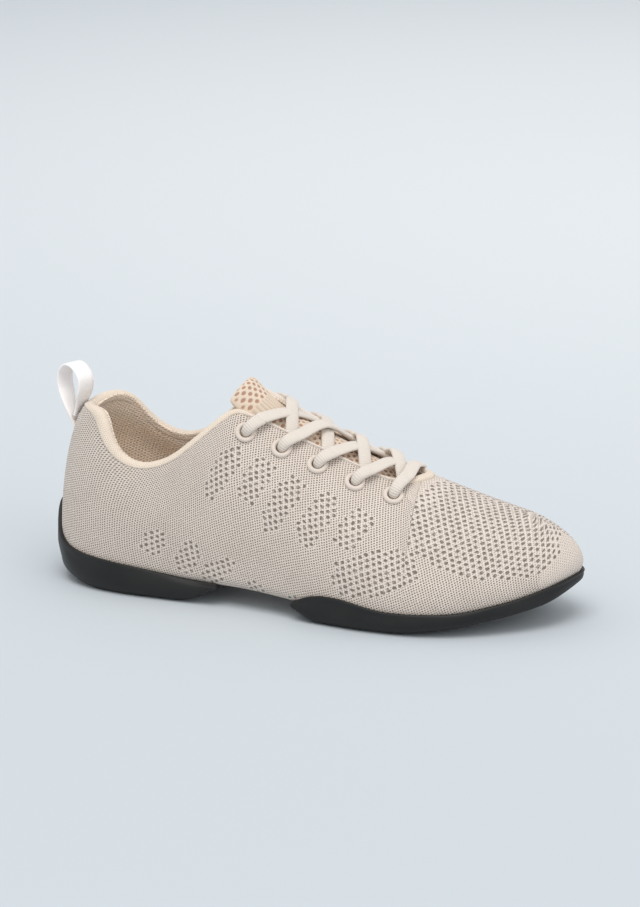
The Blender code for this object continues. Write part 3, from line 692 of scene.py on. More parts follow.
def new_finish(name, roughness, sheen=0.0):
    """A material with its shader, ready for wiring."""
    finish = bpy.data.materials.new(name)
    finish.use_nodes = True
    shader = finish.node_tree.nodes["Principled BSDF"]
    shader.inputs["Roughness"].default_value = roughness
    shader.inputs["Sheen Weight"].default_value = sheen
    shader.inputs["Sheen Roughness"].default_value = 0.6
    return finish, shader.inputs, Wiring(finish.node_tree)


def dress(wire, shader, colour, height, strength, distance):
    """Gives a shader its colour, and relief from a height."""
    wire.tree.links.new(colour, shader["Base Color"])
    bump = {"Strength": strength, "Distance": distance, "Height": height}
    wire.tree.links.new(wire.add("ShaderNodeBump", bump), shader["Normal"])


def cloth_places(wire, waver=0.0):
    """The piece's cloth map in millimetres, wavering by some of them as yarn does."""
    places = wire.vector("MULTIPLY", wire.add("ShaderNodeUVMap", uv_map="cloth"), (MAP_SPAN,) * 3)
    if not waver:
        return places
    sway = wire.add("ShaderNodeTexNoise", {"Vector": places, "Scale": 0.35}, "Color")
    sway = wire.vector("SUBTRACT", sway, (0.5,) * 3)
    return wire.vector("ADD", places, wire.vector("MULTIPLY", sway, (waver,) * 3))


def openings(wire, places, pitch, row, radius, oval=1.0):
    """The staggered openings on a cloth map."""
    return wire.effect(STAGGERED, {
        "Map": places, "Pitch": pitch, "Row": row, "Radius": radius, "Oval": oval,
    })


def inside_zones(wire, table, along, up):
    """One in any zone of a table, nought outside them all."""
    zones = None
    for middle_along, middle_up, length, width, slant in table.rows:
        inside = wire.effect(KNIT_ZONE, {
            "Along": along, "Up": up, "Middle Along": middle_along, "Middle Up": middle_up,
            "Half Length": length, "Half Width": width, "Slant": math.radians(slant),
        })["Inside"]
        zones = inside if zones is None else wire.math("MAXIMUM", zones, inside)
    return zones


def knit_finish():
    """Sand-coloured knit: fine openings all over, wide ones in the zones, painted dark as the shade
    in them.
    """
    finish, shader, wire = new_finish("sand_knit_cloth", 0.92, 0.25)
    places = cloth_places(wire, 0.7)
    fine = openings(wire, places, *FINE_KNIT)
    wide = openings(wire, cloth_places(wire, 1.8), *WIDE_KNIT)
    zones = inside_zones(wire, OPEN_ZONES, wide["Cell Along"], wide["Cell Up"])
    plain = inside_zones(wire, PLAIN_ZONES, fine["Cell Along"], fine["Cell Up"])
    ragged = wire.fade(wire.noise(places, 0.9, 1.0), 0.36, 0.52, 0.55, 1.0)
    wide_mask = wire.times(wire.times(wide["Opening"], zones), ragged)
    beside_wide = wire.less(1.0, wire.times(zones, 0.5))
    beside_wide = wire.less(beside_wide, wire.times(plain, 0.45))
    beside_wide = wire.math("MAXIMUM", beside_wide, 0.3)
    fine_mask = wire.times(fine["Opening"], beside_wide)
    clouds = wire.noise(places, 0.06)
    yarn = wire.colour(wire.fade(clouds, 0.3, 0.8, 0.0, 0.5), YARN, YARN_DARK_TONE_AND_FURROW_SHADE)
    strand = wire.noise(places, 1.6, 3.0)
    yarn = wire.colour(wire.fade(strand, 0.3, 0.75, 0.0, 0.5), yarn, YARN_DARK_TONE_AND_FURROW_SHADE)
    yarn = wire.colour(wire.times(zones, 0.15), yarn, RAISED_YARN)
    # Painted shade: the fine and wide openings are darkened where real holes would show shade.
    dotted = wire.colour(wire.times(fine_mask, 0.92), yarn, FINE_OPENING_SHADE)
    colour = wire.colour(wire.times(wide_mask, 0.95), dotted, WIDE_OPENING_SHADE)
    depth = wire.plus(wire.times(fine_mask, 0.45), wide_mask)
    height = wire.less(wire.times(strand, 0.35), depth)
    dress(wire, shader, colour, height, 0.9, 0.0009)
    return finish


upper_along = np.unique(np.concatenate([
    np.linspace(0, TIP, 207),
    np.linspace(174, THROAT_FRONT, 13),
]))
WALL_ROWS = 44
outer_faces = {side: sections(side, upper_along, WALL_ROWS) for side in (LATERAL, MEDIAL)}


def below_edge(points, up, along, distance):
    """A side's sections cut short of the top edge by a distance at each section."""
    cut = points.copy()
    cut_up = up.copy()
    for i in range(len(along)):
        cut_up[i, -WALL_ROWS:] = np.linspace(up[i, -WALL_ROWS], up[i, -1] - distance[i], WALL_ROWS)
        for axis in range(3):
            cut[i, -WALL_ROWS:, axis] = np.interp(cut_up[i, -WALL_ROWS:], up[i], points[i, :, axis])
    return cut, cut_up


# The binding's width below the edge, which hides the knit's own edge.
BINDING_WIDTH = Rows("along width", [
    (0, 2.4),
    (9, 2.6),
    (18, 3.6),
    (27, 5.2),
    (34, 5.6),
    (42, 4.2),
    (50, 3.4),
    (76, 3.2),
    (92, 3),
    (104, 1.9),
    (116, 1.5),
    (172, 1.6),
    (180, 4.2),
    (THROAT_FRONT, 4.8),
])
under_binding = np.where(
    upper_along <= THROAT_FRONT,
    BINDING_WIDTH.at("width", upper_along) - 0.4,
    np.interp(upper_along, (THROAT_FRONT, THROAT_FRONT + 3), (2.6, 0.0)),
)
knit_sheets = []
for side, (points, up) in outer_faces.items():
    short = np.where(upper_along < THROAT_FRONT, under_binding, 0.0)
    points, up = below_edge(points, up, upper_along, short)
    knit_sheets.append(sheet(points, cloth_map(points, up, upper_along), side == LATERAL))
knit = piece("knit_upper", knit_sheets, knit_finish(), closed=False)
thicken(knit, KNIT_THICKNESS)
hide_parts("upper")
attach(knit, "root")


# Lining and collar padding
# A soft peach-beige knit lines the whole shoe. Foam behind it thickens the collar, which
# closes round the ankle.
WALL = 2.2
COLLAR_WALL = 5.2
PADDED_SHARES = (0.62, 0.9)
PADDING_FADES = (79.0, 95.0)
LINING_THICKNESS = 0.8
LINING_DIMPLES = (1.9, 1.25, 0.62)
LINING = (0.92, 0.755, 0.60, 1.0)
LINING_LIGHT = (0.88, 0.755, 0.625, 1.0)
# Painted shade for the hollows: the lining's dimples and the binding's rib furrows.
LINING_HOLLOW_SHADE = (0.50, 0.36, 0.25, 1.0)


def wall_depth(points, along):
    """Distance from the outer face to the face that touches the foot."""
    rows = points.shape[1]
    shares = np.concatenate([np.zeros(rows - WALL_ROWS), np.linspace(0, 1, WALL_ROWS)])
    padding = ease(np.interp(shares, PADDED_SHARES, (0.0, 1.0)))[None, :]
    collar = np.interp(along, PADDING_FADES, (1.0, 0.0))[:, None]
    return WALL + (COLLAR_WALL - WALL) * padding * collar


def lining_finish():
    """Peach-beige lining cloth with a fine grid of dimples, painted darker as the shade in them."""
    finish, shader, wire = new_finish("peach_lining_cloth", 0.95, 0.3)
    places = cloth_places(wire, 0.4)
    dimples = openings(wire, places, *LINING_DIMPLES)["Opening"]
    clouds = wire.fade(wire.noise(places, 0.08), 0.35, 0.65)
    cloth = wire.colour(clouds, LINING, LINING_LIGHT)
    # Painted shade in the dimples.
    colour = wire.colour(wire.times(dimples, 0.6), cloth, LINING_HOLLOW_SHADE)
    dress(wire, shader, colour, wire.times(dimples, -1.0), 0.7, 0.0005)
    return finish


lining_cloth = lining_finish()
lining_sheets = []
for side, (points, up) in outer_faces.items():
    depth = wall_depth(points, upper_along) - LINING_THICKNESS
    inner = points - facing_out(side, points) * depth[..., None]
    middle_y = np.where(upper_along >= THROAT_FRONT, RIDGE.at("y", upper_along), inner[:, -1, 1])
    inner[:, -1, 1] = middle_y
    lining_sheets.append(sheet(inner, cloth_map(points, up, upper_along), side == LATERAL))
lining = piece("lining", lining_sheets, lining_cloth, weld=0.15, closed=False)
thicken(lining, LINING_THICKNESS)
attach(lining, "root")


# Collar and throat binding
# The lining cloth rolls out over the padded rim and is sewn down on the knit. Along the
# throat it is a thin edging of the knit's own colour.
BINDING_PROUD = (0.35, 1.1)
BINDING_RIBS = (1.1, 0.9, 0.5)
THROAT_BINDING = (0.88, 0.80, 0.72, 1.0)
RIM_STEP = 1.1
RIM_ROWS = 14


def rim_loop():
    """The upper's top edge as one loop from the back seam, forward on the outer side, round
    the throat's front end and back on the inner side, with the way out of the cloth, the
    way up off the edge, and "along" at each point."""
    behind = upper_along <= THROAT_FRONT
    halves = {}
    for side, (points, _) in outer_faces.items():
        out = facing_out(side, points)[behind, -2]
        halves[side] = np.hstack([points[behind, -1], out, upper_along[behind, None]])
    outer, inner = halves[LATERAL], halves[MEDIAL]
    rim = np.concatenate([outer, inner[-2:0:-1], outer[:1]])
    travelled = travel(rim[:, :3])
    steps = np.linspace(0, travelled[-1], int(travelled[-1] / RIM_STEP) + 1)[:-1]
    even = np.stack([np.interp(steps, travelled, column) for column in rim.T], axis=-1)
    weights = np.exp(-np.linspace(-2, 2, 7) ** 2 / 2)
    weights /= weights.sum()
    even[:, :6] = sum(
        weight * np.roll(even[:, :6], shift, axis=0)
        for shift, weight in zip(range(-3, 4), weights)
    )
    place, out, along = even[:, :3], unit(even[:, 3:6]), even[:, 6]
    run = unit(np.roll(place, -1, axis=0) - np.roll(place, 1, axis=0))
    up = unit(np.cross(out, run))
    out = unit(np.cross(run, up))
    return place, out, up, along, steps


rim_place, rim_out, rim_up, rim_along, rim_steps = rim_loop()


def binding_grid():
    """Cross-sections of the binding: from under the knit up its outer face, over the rim on
    a round arc, and down the inner face into the padding."""
    width = BINDING_WIDTH.at("width", rim_along)[:, None]
    depth = np.interp(rim_along, PADDING_FADES, (COLLAR_WALL, WALL))[:, None]
    radius = depth / 2
    proud = np.interp(rim_along, (96, 106), BINDING_PROUD)[:, None]
    outer = (
        (-width, -0.9),
        (-width, 0.1),
        (-width + 0.35, proud),
        (-np.maximum(radius, 0.6 * width), proud),
    )
    angles = np.linspace(0, math.pi, RIM_ROWS)[1:-1]
    arc = [
        (-radius + radius * np.sin(angle),
         proud - (depth + 1.2 * proud) * (1 - np.cos(angle)) / 2)
        for angle in angles
    ]
    inner = (
        (-radius, -depth - 0.2 * proud),
        (-radius - 1.2, -depth - 0.1),
        (-radius - 2.0, -depth + 0.6),
        (-radius - 1.5, -depth / 2 - 0.6),
    )
    return np.stack([
        rim_place + rim_up * up + rim_out * out for up, out in (*outer, *arc, *inner)
    ], axis=1)


def binding_finish():
    """Lining cloth on the collar, turning into the knit's colour along the throat, with painted
    shade in its rib furrows.
    """
    finish, shader, wire = new_finish("binding_cloth", 0.95, 0.3)
    places = cloth_places(wire, 0.3)
    throat = wire.add("ShaderNodeAttribute", (), 2, attribute_name="throat")
    ribs = openings(wire, places, *BINDING_RIBS)["Opening"]
    cloth = wire.colour(throat, LINING_LIGHT, THROAT_BINDING)
    # Painted shade in the rib furrows.
    colour = wire.colour(wire.times(ribs, 0.35), cloth, LINING_HOLLOW_SHADE)
    dress(wire, shader, colour, wire.times(ribs, -1.0), 0.6, 0.0004)
    return finish


binding_points = binding_grid()
girth = travel(binding_points, axis=1)
binding_map = np.stack([np.repeat(rim_steps[:, None], girth.shape[1], axis=1), girth], axis=-1)
throat_share = np.interp(rim_along, (96, 106, 170, 176), (0, 1, 1, 0))
binding = piece(
    "collar_binding",
    [sheet(binding_points, binding_map, turned=True, round_rows=True, round_columns=True)],
    binding_finish(),
    weld=0.0,
    values={"throat": np.repeat(throat_share, binding_points.shape[1])},
)
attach(binding, "root")


# Insole
# A thin footbed of foam faced with lining cloth, cut to the last's outline and laid in
# over the turned-in margin of the upper.
INSOLE_THICKNESS = 3.0
INSOLE_BED = WALL + 0.55


def insole_grid(side, along):
    """Half cross-sections, from the middle of the underside round the edge to the middle of
    the top, which dips a little under the foot."""
    edge = feather(side, along)[0]
    centre = midline(along)
    inward = unit(centre - edge)
    top = INSOLE_BED + INSOLE_THICKNESS
    columns = []
    for share in np.linspace(0, 1, 6):
        columns.append((centre + (edge + inward * 5.8 - centre) * share, INSOLE_BED))
    for inset, height in ((4.4, INSOLE_BED + 0.8), (3.7, INSOLE_BED + 1.8), (3.4, top - 0.4),
                          (3.7, top)):
        columns.append((edge + inward * inset, height))
    for share in np.linspace(1, 0, 10):
        plan = centre + (edge + inward * 4.4 - centre) * share
        columns.append((plan, top - 0.5 * (1 - share ** 4)))
    return np.stack([
        lift(plan, HEIGHTS.at("under", plan[:, 0]) + height) for plan, height in columns
    ], axis=1)


def flat_sheet(side, points):
    """One side of a piece that lies flat, whose cloth map is its plan."""
    return sheet(points, points[..., :2], side == LATERAL)


insole_along = np.linspace(0, TIP, 120)
insole_sheets = [flat_sheet(side, insole_grid(side, insole_along)) for side in (LATERAL, MEDIAL)]
insole = piece("footbed", insole_sheets, lining_cloth)
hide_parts("insole")
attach(insole, "root")


# Heel sole and forefoot sole
# Two separate units of matte black rubber, moulded as trays that the upper is cemented
# into. The heel unit runs up the back seam in a thin tab.
CEMENT_GAP = 0.3
SOLE_LIP = 1.5
SOLE_END_DEPTH = 1.6
TREAD_PITCH = 0.0032
RUBBER = (0.010, 0.010, 0.0098, 1.0)
DUSTY_RUBBER = (0.018, 0.0175, 0.017, 1.0)
HEEL_LINE = Rows("along line bulge", [
    (0, 37, 0.9),
    (4, 35.5, 0.9),
    (9, 28.5, 1),
    (14, 23, 1.2),
    (22, 19.5, 1.6),
    (34, 17.6, 1.9),
    (47, 16.2, 1.9),
    (60, 14.2, 1.8),
    (70, 12.6, 1.5),
    (80, 11.6, 1.2),
    (88, 11.4, 1),
])
FOREFOOT_LINE = Rows("along line bulge", [
    (131, 10.4, 1),
    (135, 12.6, 1.3),
    (142, 15.2, 1.6),
    (150, 15.7, 1.8),
    (158, 15, 1.9),
    (168, 12.8, 1.9),
    (178, 11.4, 1.9),
    (200, 11.6, 1.8),
    (212, 12.6, 1.6),
    (225, 15, 1.3),
    (240, 18.4, 1),
    (253, 22.8, 0.8),
    (261, 24.4, 0.7),
    (TIP, 24.8, 0.6),
])


def smooth_line(points, count):
    """A curve through points that leaves each in the direction of its neighbours."""
    points = np.asarray(points, float)
    padded = np.concatenate([2 * points[:1] - points[1:2], points, 2 * points[-1:] - points[-2:-1]])
    steps = np.linspace(0, len(points) - 1, count)
    row = np.minimum(steps.astype(int), len(points) - 2)
    t = (steps - row)[:, None]
    a, b, c, d = (padded[row + k] for k in range(4))
    return 0.5 * (2 * b + (c - a) * t + (2 * a - 5 * b + 4 * c - d) * t ** 2
                  + (3 * b - a - 3 * c + d) * t ** 3)


def sole_rings(side, along, table):
    """Closed half cross-sections of a sole unit, from the middle of its bottom out, up the
    rounded side to the lip, and back down into the tray that the upper sits in."""
    line = table.at("line", along)
    bulge = table.at("bulge", along)
    bed = sections(side, along, 60, turned_in=1.0)[0][:, :44]
    edge, outward = feather(side, along)
    centre = midline(along)
    inward = unit(centre - edge)
    tangent = unit(np.gradient(bed, axis=1))
    away = -np.concatenate([inward, np.zeros((len(along), 1))], axis=-1)[:, None, :]
    forward_part = (tangent * away).sum(axis=-1, keepdims=True)
    up = np.array([0.0, 0.0, 1.0])
    grown = bed + CEMENT_GAP * (away * tangent[..., 2:3] - up * forward_part)
    grown[:, 0] = bed[:, 0] - up * CEMENT_GAP
    bottom = HEIGHTS.at("tread", edge[:, 0])
    rings = []
    for i in range(len(along)):
        rising = grown[i, 4:]
        rows = np.arange(len(rising))
        lip_row = np.interp(line[i], rising[:, 2], rows)
        places = np.linspace(lip_row, 0, 9)
        tray = np.stack([np.interp(places, rows, rising[:, k]) for k in range(3)], axis=-1)
        tray = np.concatenate([tray, grown[i, 3::-1]])
        out = np.append(outward[i], 0.0)
        wall_reach = (tray[0, :2] - edge[i]) @ outward[i]
        side_points = []
        for height, share in ((0.12, -0.4), (0.32, 0.55), (0.55, 1.0), (0.8, 1.0)):
            z = bottom[i] + height * (line[i] - bottom[i])
            row = np.interp(z, rising[:, 2], rows)
            inner = np.array([np.interp(row, rows, rising[:, k]) for k in range(2)])
            cover = (inner - edge[i]) @ outward[i] + SOLE_LIP * min(1, 2 * height)
            side_points.append(np.append(edge[i], z) + out * max(share * bulge[i], cover))
        lip = np.append(edge[i], line[i] - 0.4) + out * (wall_reach + SOLE_LIP)
        inset = edge[i] + inward[i] * 3.4
        floor_plan = inset + (centre[i] - inset) * np.linspace(1, 0, 8)[:, None]
        floor = lift(floor_plan, HEIGHTS.at("tread", floor_plan[:, 0]))
        over_lip = np.append(edge[i], line[i] + 0.1) + out * (wall_reach + 0.6 * SOLE_LIP)
        shoulder = smooth_line([floor[-1], *side_points, lip, over_lip, tray[0]], 26)
        rings.append(np.concatenate([floor[:-1], shoulder[:-1], tray]))
    return np.array(rings)


def round_end(rings, at_front, depth, steps=5):
    """Adds sections past one end that close in on its middle line on a quarter circle."""
    last = rings[-1] if at_front else rings[0]
    middle = (last[:, 2].min() + last[:, 2].max()) / 2
    angles = np.linspace(0, math.pi / 2, steps)[1:, None]
    added = np.repeat(last[None], steps - 1, axis=0)
    added[..., 2] = middle + (added[..., 2] - middle) * np.maximum(np.cos(angles), 0.04)
    added[..., 0] += depth * np.sin(angles) * (1 if at_front else -1)
    return np.concatenate([rings, added] if at_front else [added[::-1], rings])


def rubber_finish():
    """Matte black rubber with a soft gloss, scuffed a little and grooved underneath."""
    finish, shader, wire = new_finish("matte_black_rubber", 0.5)
    shader["Specular IOR Level"].default_value = 0.32
    place = wire.add("ShaderNodeTexCoord", (), 3)
    grain = wire.noise(place, 900.0, 3.0)
    clouds = wire.noise(place, 35.0, 3.0)
    colour = wire.colour(wire.fade(clouds, 0.35, 0.7), RUBBER, DUSTY_RUBBER)
    wire.tree.links.new(wire.fade(clouds, 0.3, 0.7, 0.42, 0.56), shader["Roughness"])
    x, y, _ = wire.split(place)
    facing = wire.split(wire.add("ShaderNodeNewGeometry", (), "Normal"))
    under = wire.fade(facing[2], -0.6, -0.95)
    diagonal = wire.plus(x, wire.times(y, 0.6))
    grooves = wire.fade(wire.math("PINGPONG", diagonal, TREAD_PITCH / 2), 0.0004, 0.0009)
    tread = wire.times(wire.less(grooves, 1.0), under)
    height = wire.plus(wire.times(grain, 0.12), tread)
    dress(wire, shader, colour, height, 0.6, 0.0006)
    return finish


rubber = rubber_finish()
heel_along = np.linspace(0, 88, 78)
forefoot_along = np.linspace(131, TIP, 116)
for name, node, along, table, at_front in (
    ("heel_rubber", "heel_sole", heel_along, HEEL_LINE, True),
    ("forefoot_rubber", "forefoot_sole", forefoot_along, FOREFOOT_LINE, False),
):
    sole = piece(name, [
        flat_sheet(side, round_end(sole_rings(side, along, table), at_front, SOLE_END_DEPTH))
        for side in (LATERAL, MEDIAL)
    ], rubber)
    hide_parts(node)
    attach(sole, "root")


# Tongue
# A soft pad of open mesh with six-sided holes over a pink lining, knitted in ribs below
# its rounded top and again between the first laces.
TONGUE_MIDDLE = 0.8
TONGUE_SAG_AT = 12.0
TONGUE = Rows("place x z sag half thick", [
    (0, 192, 58.8, 2.2, 12, 1.8),
    (12, 181, 62.3, 2.5, 14, 2),
    (24, 170, 66.8, 3.2, 15, 2.4),
    (40, 155, 73.8, 4.2, 16, 2.6),
    (58, 138.5, 81.3, 5, 15, 2.6),
    (76, 122, 88.5, 6.2, 14, 2.8),
    (88, 111.5, 94, 7.2, 13.2, 3.4),
    (98, 103.8, 100.4, 7.8, 13, 4.6),
    (105, 98.6, 105.6, 7.8, 13.4, 5.6),
    (108.5, 96.4, 107.6, 7.4, 12.2, 5.4),
    (110, 95.6, 108.2, 6.8, 10.5, 5),
])
TONGUE_TOP = 110.0
MESH_PITCH = 3.1
MESH_ROW = 2.3
MESH_RADIUS = 1.15
MESH_DEPTH = 0.7
RIB_PITCH = 1.7
RIB_DEPTH = 0.55
RIB_BANDS = ((86.0, 97.0), (66.0, 74.0))
RELIEF_FADE = 1.5
TOP_ROUNDING = 4.0
MESH_YARN = (0.76, 0.63, 0.50, 1.0)
# The hole colour is the pink lining with painted shade over it; the rib colour is painted shade in
# the rib valleys, also used as a darker yarn tone.
MESH_HOLE_LINING_AND_SHADE = (0.44, 0.26, 0.18, 1.0)
RIB_VALLEY_SHADE_AND_DARK_YARN = (0.56, 0.45, 0.35, 1.0)


def tongue_face(places, shares):
    """Outer face of the tongue, with its outward direction. A share of -1 is its lateral
    side and 1 its medial side. Its sides fall away from the middle on a parabola."""
    x = TONGUE.at("x", places, level_ends=False)
    z = TONGUE.at("z", places, level_ends=False)
    along = unit(np.stack([np.gradient(x, places), np.gradient(z, places)], axis=-1))
    out = np.stack([along[:, 1], 0 * x, -along[:, 0]], axis=-1)
    sideways = TONGUE.at("half", places)[:, None] * shares
    away = np.abs(sideways) / TONGUE_SAG_AT
    fall = np.where(away < 1, away ** 2, 2 * away - 1) * TONGUE.at("sag", places)[:, None]
    points = np.stack([x, 0 * x + TONGUE_MIDDLE, z], axis=-1)[:, None, :]
    points = points - out[:, None, :] * fall[..., None]
    points[..., 1] += sideways
    return points, np.broadcast_to(out[:, None, :], points.shape), sideways


def in_ribs(place):
    """One inside the ribbed bands, nought outside, with a soft edge."""
    return np.maximum.reduce([
        np.clip((place - low) / RELIEF_FADE, 0, 1) * np.clip((high - place) / RELIEF_FADE, 0, 1)
        for low, high in RIB_BANDS
    ])


def mesh_opening(place, sideways):
    """One in the middle of each hole of the mesh, nought on the yarn between them."""
    row = np.floor(place / MESH_ROW)
    cell = sideways / MESH_PITCH + 0.5 * (row % 2)
    across = (cell - np.floor(cell) - 0.5) * MESH_PITCH
    up = (place / MESH_ROW - row - 0.5) * MESH_ROW
    return ease(np.clip((MESH_RADIUS - np.hypot(across, up)) / (0.55 * MESH_RADIUS), 0, 1))


tongue_places = np.linspace(0, TONGUE_TOP, 240)
tongue_shares = np.linspace(-1, 1, 71)[None, :]
tongue_outer, tongue_out, tongue_sideways = tongue_face(tongue_places, tongue_shares)
place_grid = np.repeat(tongue_places[:, None], tongue_shares.shape[1], axis=1)
ribbed = in_ribs(place_grid)
opening = mesh_opening(place_grid, tongue_sideways) * (1 - ribbed)
rib_wave = 0.5 - 0.5 * np.cos(2 * math.pi * tongue_sideways / RIB_PITCH)
near_rim = np.clip(np.minimum(
    (1 - np.abs(tongue_shares)) * TONGUE.at("half", tongue_places)[:, None],
    TONGUE_TOP - place_grid,
) / RELIEF_FADE, 0, 1)
relief = -(MESH_DEPTH * opening + RIB_DEPTH * rib_wave * ribbed) * near_rim
top_round = np.sqrt(np.clip((TONGUE_TOP - tongue_places) / TOP_ROUNDING, 0, 1))[:, None]
lens = np.sqrt(np.clip(1 - tongue_shares ** 4, 0, 1)) * top_round
half_thick = TONGUE.at("thick", tongue_places)[:, None] / 2
crown = half_thick * lens
middle_face = tongue_outer - tongue_out * half_thick[..., None]
tongue_front = middle_face + tongue_out * (crown + relief)[..., None]
tongue_back = middle_face - tongue_out * crown[..., None]
tongue_map = np.stack([tongue_sideways, place_grid], axis=-1)


def mesh_finish():
    """Cream mesh yarn; the pink lining in the holes under painted shade, and painted shade in the
    valleys of the ribbed bands.
    """
    finish, shader, wire = new_finish("cream_mesh_cloth", 0.95, 0.3)
    places = cloth_places(wire)
    holes = wire.add("ShaderNodeAttribute", (), 2, attribute_name="opening")
    ribs = wire.add("ShaderNodeAttribute", (), 2, attribute_name="ribs")
    # Painted shade in the rib valleys; below, the same colour gives the yarn a random darker tone.
    yarn = wire.colour(ribs, MESH_YARN, RIB_VALLEY_SHADE_AND_DARK_YARN)
    strand = wire.noise(places, 1.5, 3.0)
    yarn = wire.colour(wire.fade(strand, 0.3, 0.8, 0.0, 0.2), yarn, RIB_VALLEY_SHADE_AND_DARK_YARN)
    # The pink lining in the holes, darkened with painted shade.
    colour = wire.colour(wire.fade(holes, 0.15, 0.7), yarn, MESH_HOLE_LINING_AND_SHADE)
    dress(wire, shader, colour, strand, 0.5, 0.0004)
    return finish


flat = np.zeros_like(opening)
# The "ribs" numbers mark the rib valleys, where the finish paints shade.
tongue = piece(
    "mesh_tongue",
    [sheet(tongue_front, tongue_map, True), sheet(tongue_back, tongue_map, False)],
    mesh_finish(),
    values={"opening": np.concatenate([(opening * near_rim).ravel(), flat.ravel()]),
            "ribs": np.concatenate([(ribbed * rib_wave).ravel(), flat.ravel()])},
)
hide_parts("tongue")
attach(tongue, "root")


# Eyelets
# Five raised rings a side, bound in the knit's own yarn and set in the eyestays, with a
# clear hole for the lace.
EYELET_PLACES = (100.5, 118.5, 136.5, 155.0, 173.5)
EYELET_FROM_EDGE = 10.5
EYELET_RADIUS = 5.0
EYELET_HOLE_RADIUS = 2.7
THREAD_PITCH = 0.7
EYELET_HEIGHT = 1.5
HOLE_REACH = 6.0


def skin_place(side, along, down, lift_by=0.0):
    """A point on the upper's outer face, "down" from its top edge and lifted off it, with
    the way out of the cloth and the way forward along it."""
    near = np.array([along - 0.5, along, along + 0.5])
    points, up = sections(side, near, 120)
    below = up[1, -1] - up[1]
    order = np.argsort(below)
    place = np.array([np.interp(down, below[order], points[1][order, k]) for k in range(3)])
    row = int(np.clip(np.argmin(np.abs(below - down)), 1, points.shape[1] - 2))
    forward = unit(points[2, row] - points[0, row])
    rising = points[1, row + 1] - points[1, row - 1]
    out = unit(np.cross(rising, forward) * side)
    return place + out * lift_by, out, forward


def cross_ribs(wire, run, pitch):
    """Ribs across a run: one on each crest, nought in each furrow."""
    return wire.fade(wire.math("PINGPONG", run, pitch / 2), 0.0, pitch / 2)


def eyelet_finish():
    """Smooth bound ring in the knit's colour, with the threads showing across it and painted shade
    in the furrows between them.
    """
    finish, shader, wire = new_finish("bound_eyelet", 0.85, 0.25)
    threads = cross_ribs(wire, wire.split(cloth_places(wire))[0], THREAD_PITCH)
    # Painted shade in the furrows between the threads.
    dress(wire, shader, wire.colour(threads, YARN_DARK_TONE_AND_FURROW_SHADE, YARN), threads, 0.35, 0.0003)
    return finish


eyelet_cloth = eyelet_finish()
turns = np.linspace(0, 2 * math.pi, 48, endpoint=False)[:, None]
tube_turns = np.linspace(0, 2 * math.pi, 16, endpoint=False)[None, :]
ring_middle = (EYELET_RADIUS + EYELET_HOLE_RADIUS) / 2
ring_half = (EYELET_RADIUS - EYELET_HOLE_RADIUS) / 2
eyelet_spots = []
for side, side_name in ((LATERAL, "outer"), (MEDIAL, "inner")):
    for number, along in enumerate(EYELET_PLACES, start=1):
        place, out, forward = skin_place(side, along, EYELET_FROM_EDGE)
        across = unit(np.cross(out, forward))
        eyelet_spots.append((place, out))
        spoke = np.cos(turns)[..., None] * forward + np.sin(turns)[..., None] * across
        reach = ring_middle + ring_half * np.cos(tube_turns)
        height = EYELET_HEIGHT * (0.3 + 0.8 * np.sin(tube_turns))
        ring = place + spoke * reach[..., None] + out * height[..., None]
        ring_map = np.stack([turns * ring_middle + 0 * tube_turns,
                             tube_turns * ring_half + 0 * turns], axis=-1)
        eyelet = piece(f"eyelet_ring_{side_name}_{number}",
                       [sheet(ring, ring_map, turned=True, round_rows=True, round_columns=True)],
                       eyelet_cloth, weld=0.0)
        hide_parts(f"eyelet_{side_name}_{number}")
        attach(eyelet, "root")


def open_eyelet_holes(thing):
    """Takes away a sheet's faces that touch the cloth inside the eyelet rings."""
    mesh = thing.data
    points = np.empty((len(mesh.vertices), 3))
    mesh.vertices.foreach_get("co", points.reshape(-1))
    inside = np.zeros(len(points), bool)
    for place, out in eyelet_spots:
        from_middle = points - world(place)
        height = from_middle @ out
        away = np.linalg.norm(from_middle - height[:, None] * out, axis=1)
        inside |= (away < EYELET_HOLE_RADIUS * 0.001) & (np.abs(height) < HOLE_REACH * 0.001)
    form = bmesh.new()
    form.from_mesh(mesh)
    form.verts.ensure_lookup_table()
    bmesh.ops.delete(form, geom=[form.verts[i] for i in np.flatnonzero(inside)], context="VERTS")
    form.to_mesh(mesh)
    form.free()


open_eyelet_holes(knit)
open_eyelet_holes(lining)


# Lace
# A plump flat-oval lace with fine cross ribs. A bar lies over the front pair of eyelets,
# and from there the two ends cross over the tongue and go down into each next eyelet.
LACE_WIDTH = 6.6
LACE_THICKNESS = 2.3
CROSSING_RISE = 3.4
UPPER_LACE_RISE = 2.6
LACE_RIB_PITCH = 0.95
LACE_YARN = (0.76, 0.685, 0.61, 1.0)
LACE_FURROW = (0.62, 0.545, 0.475, 1.0)


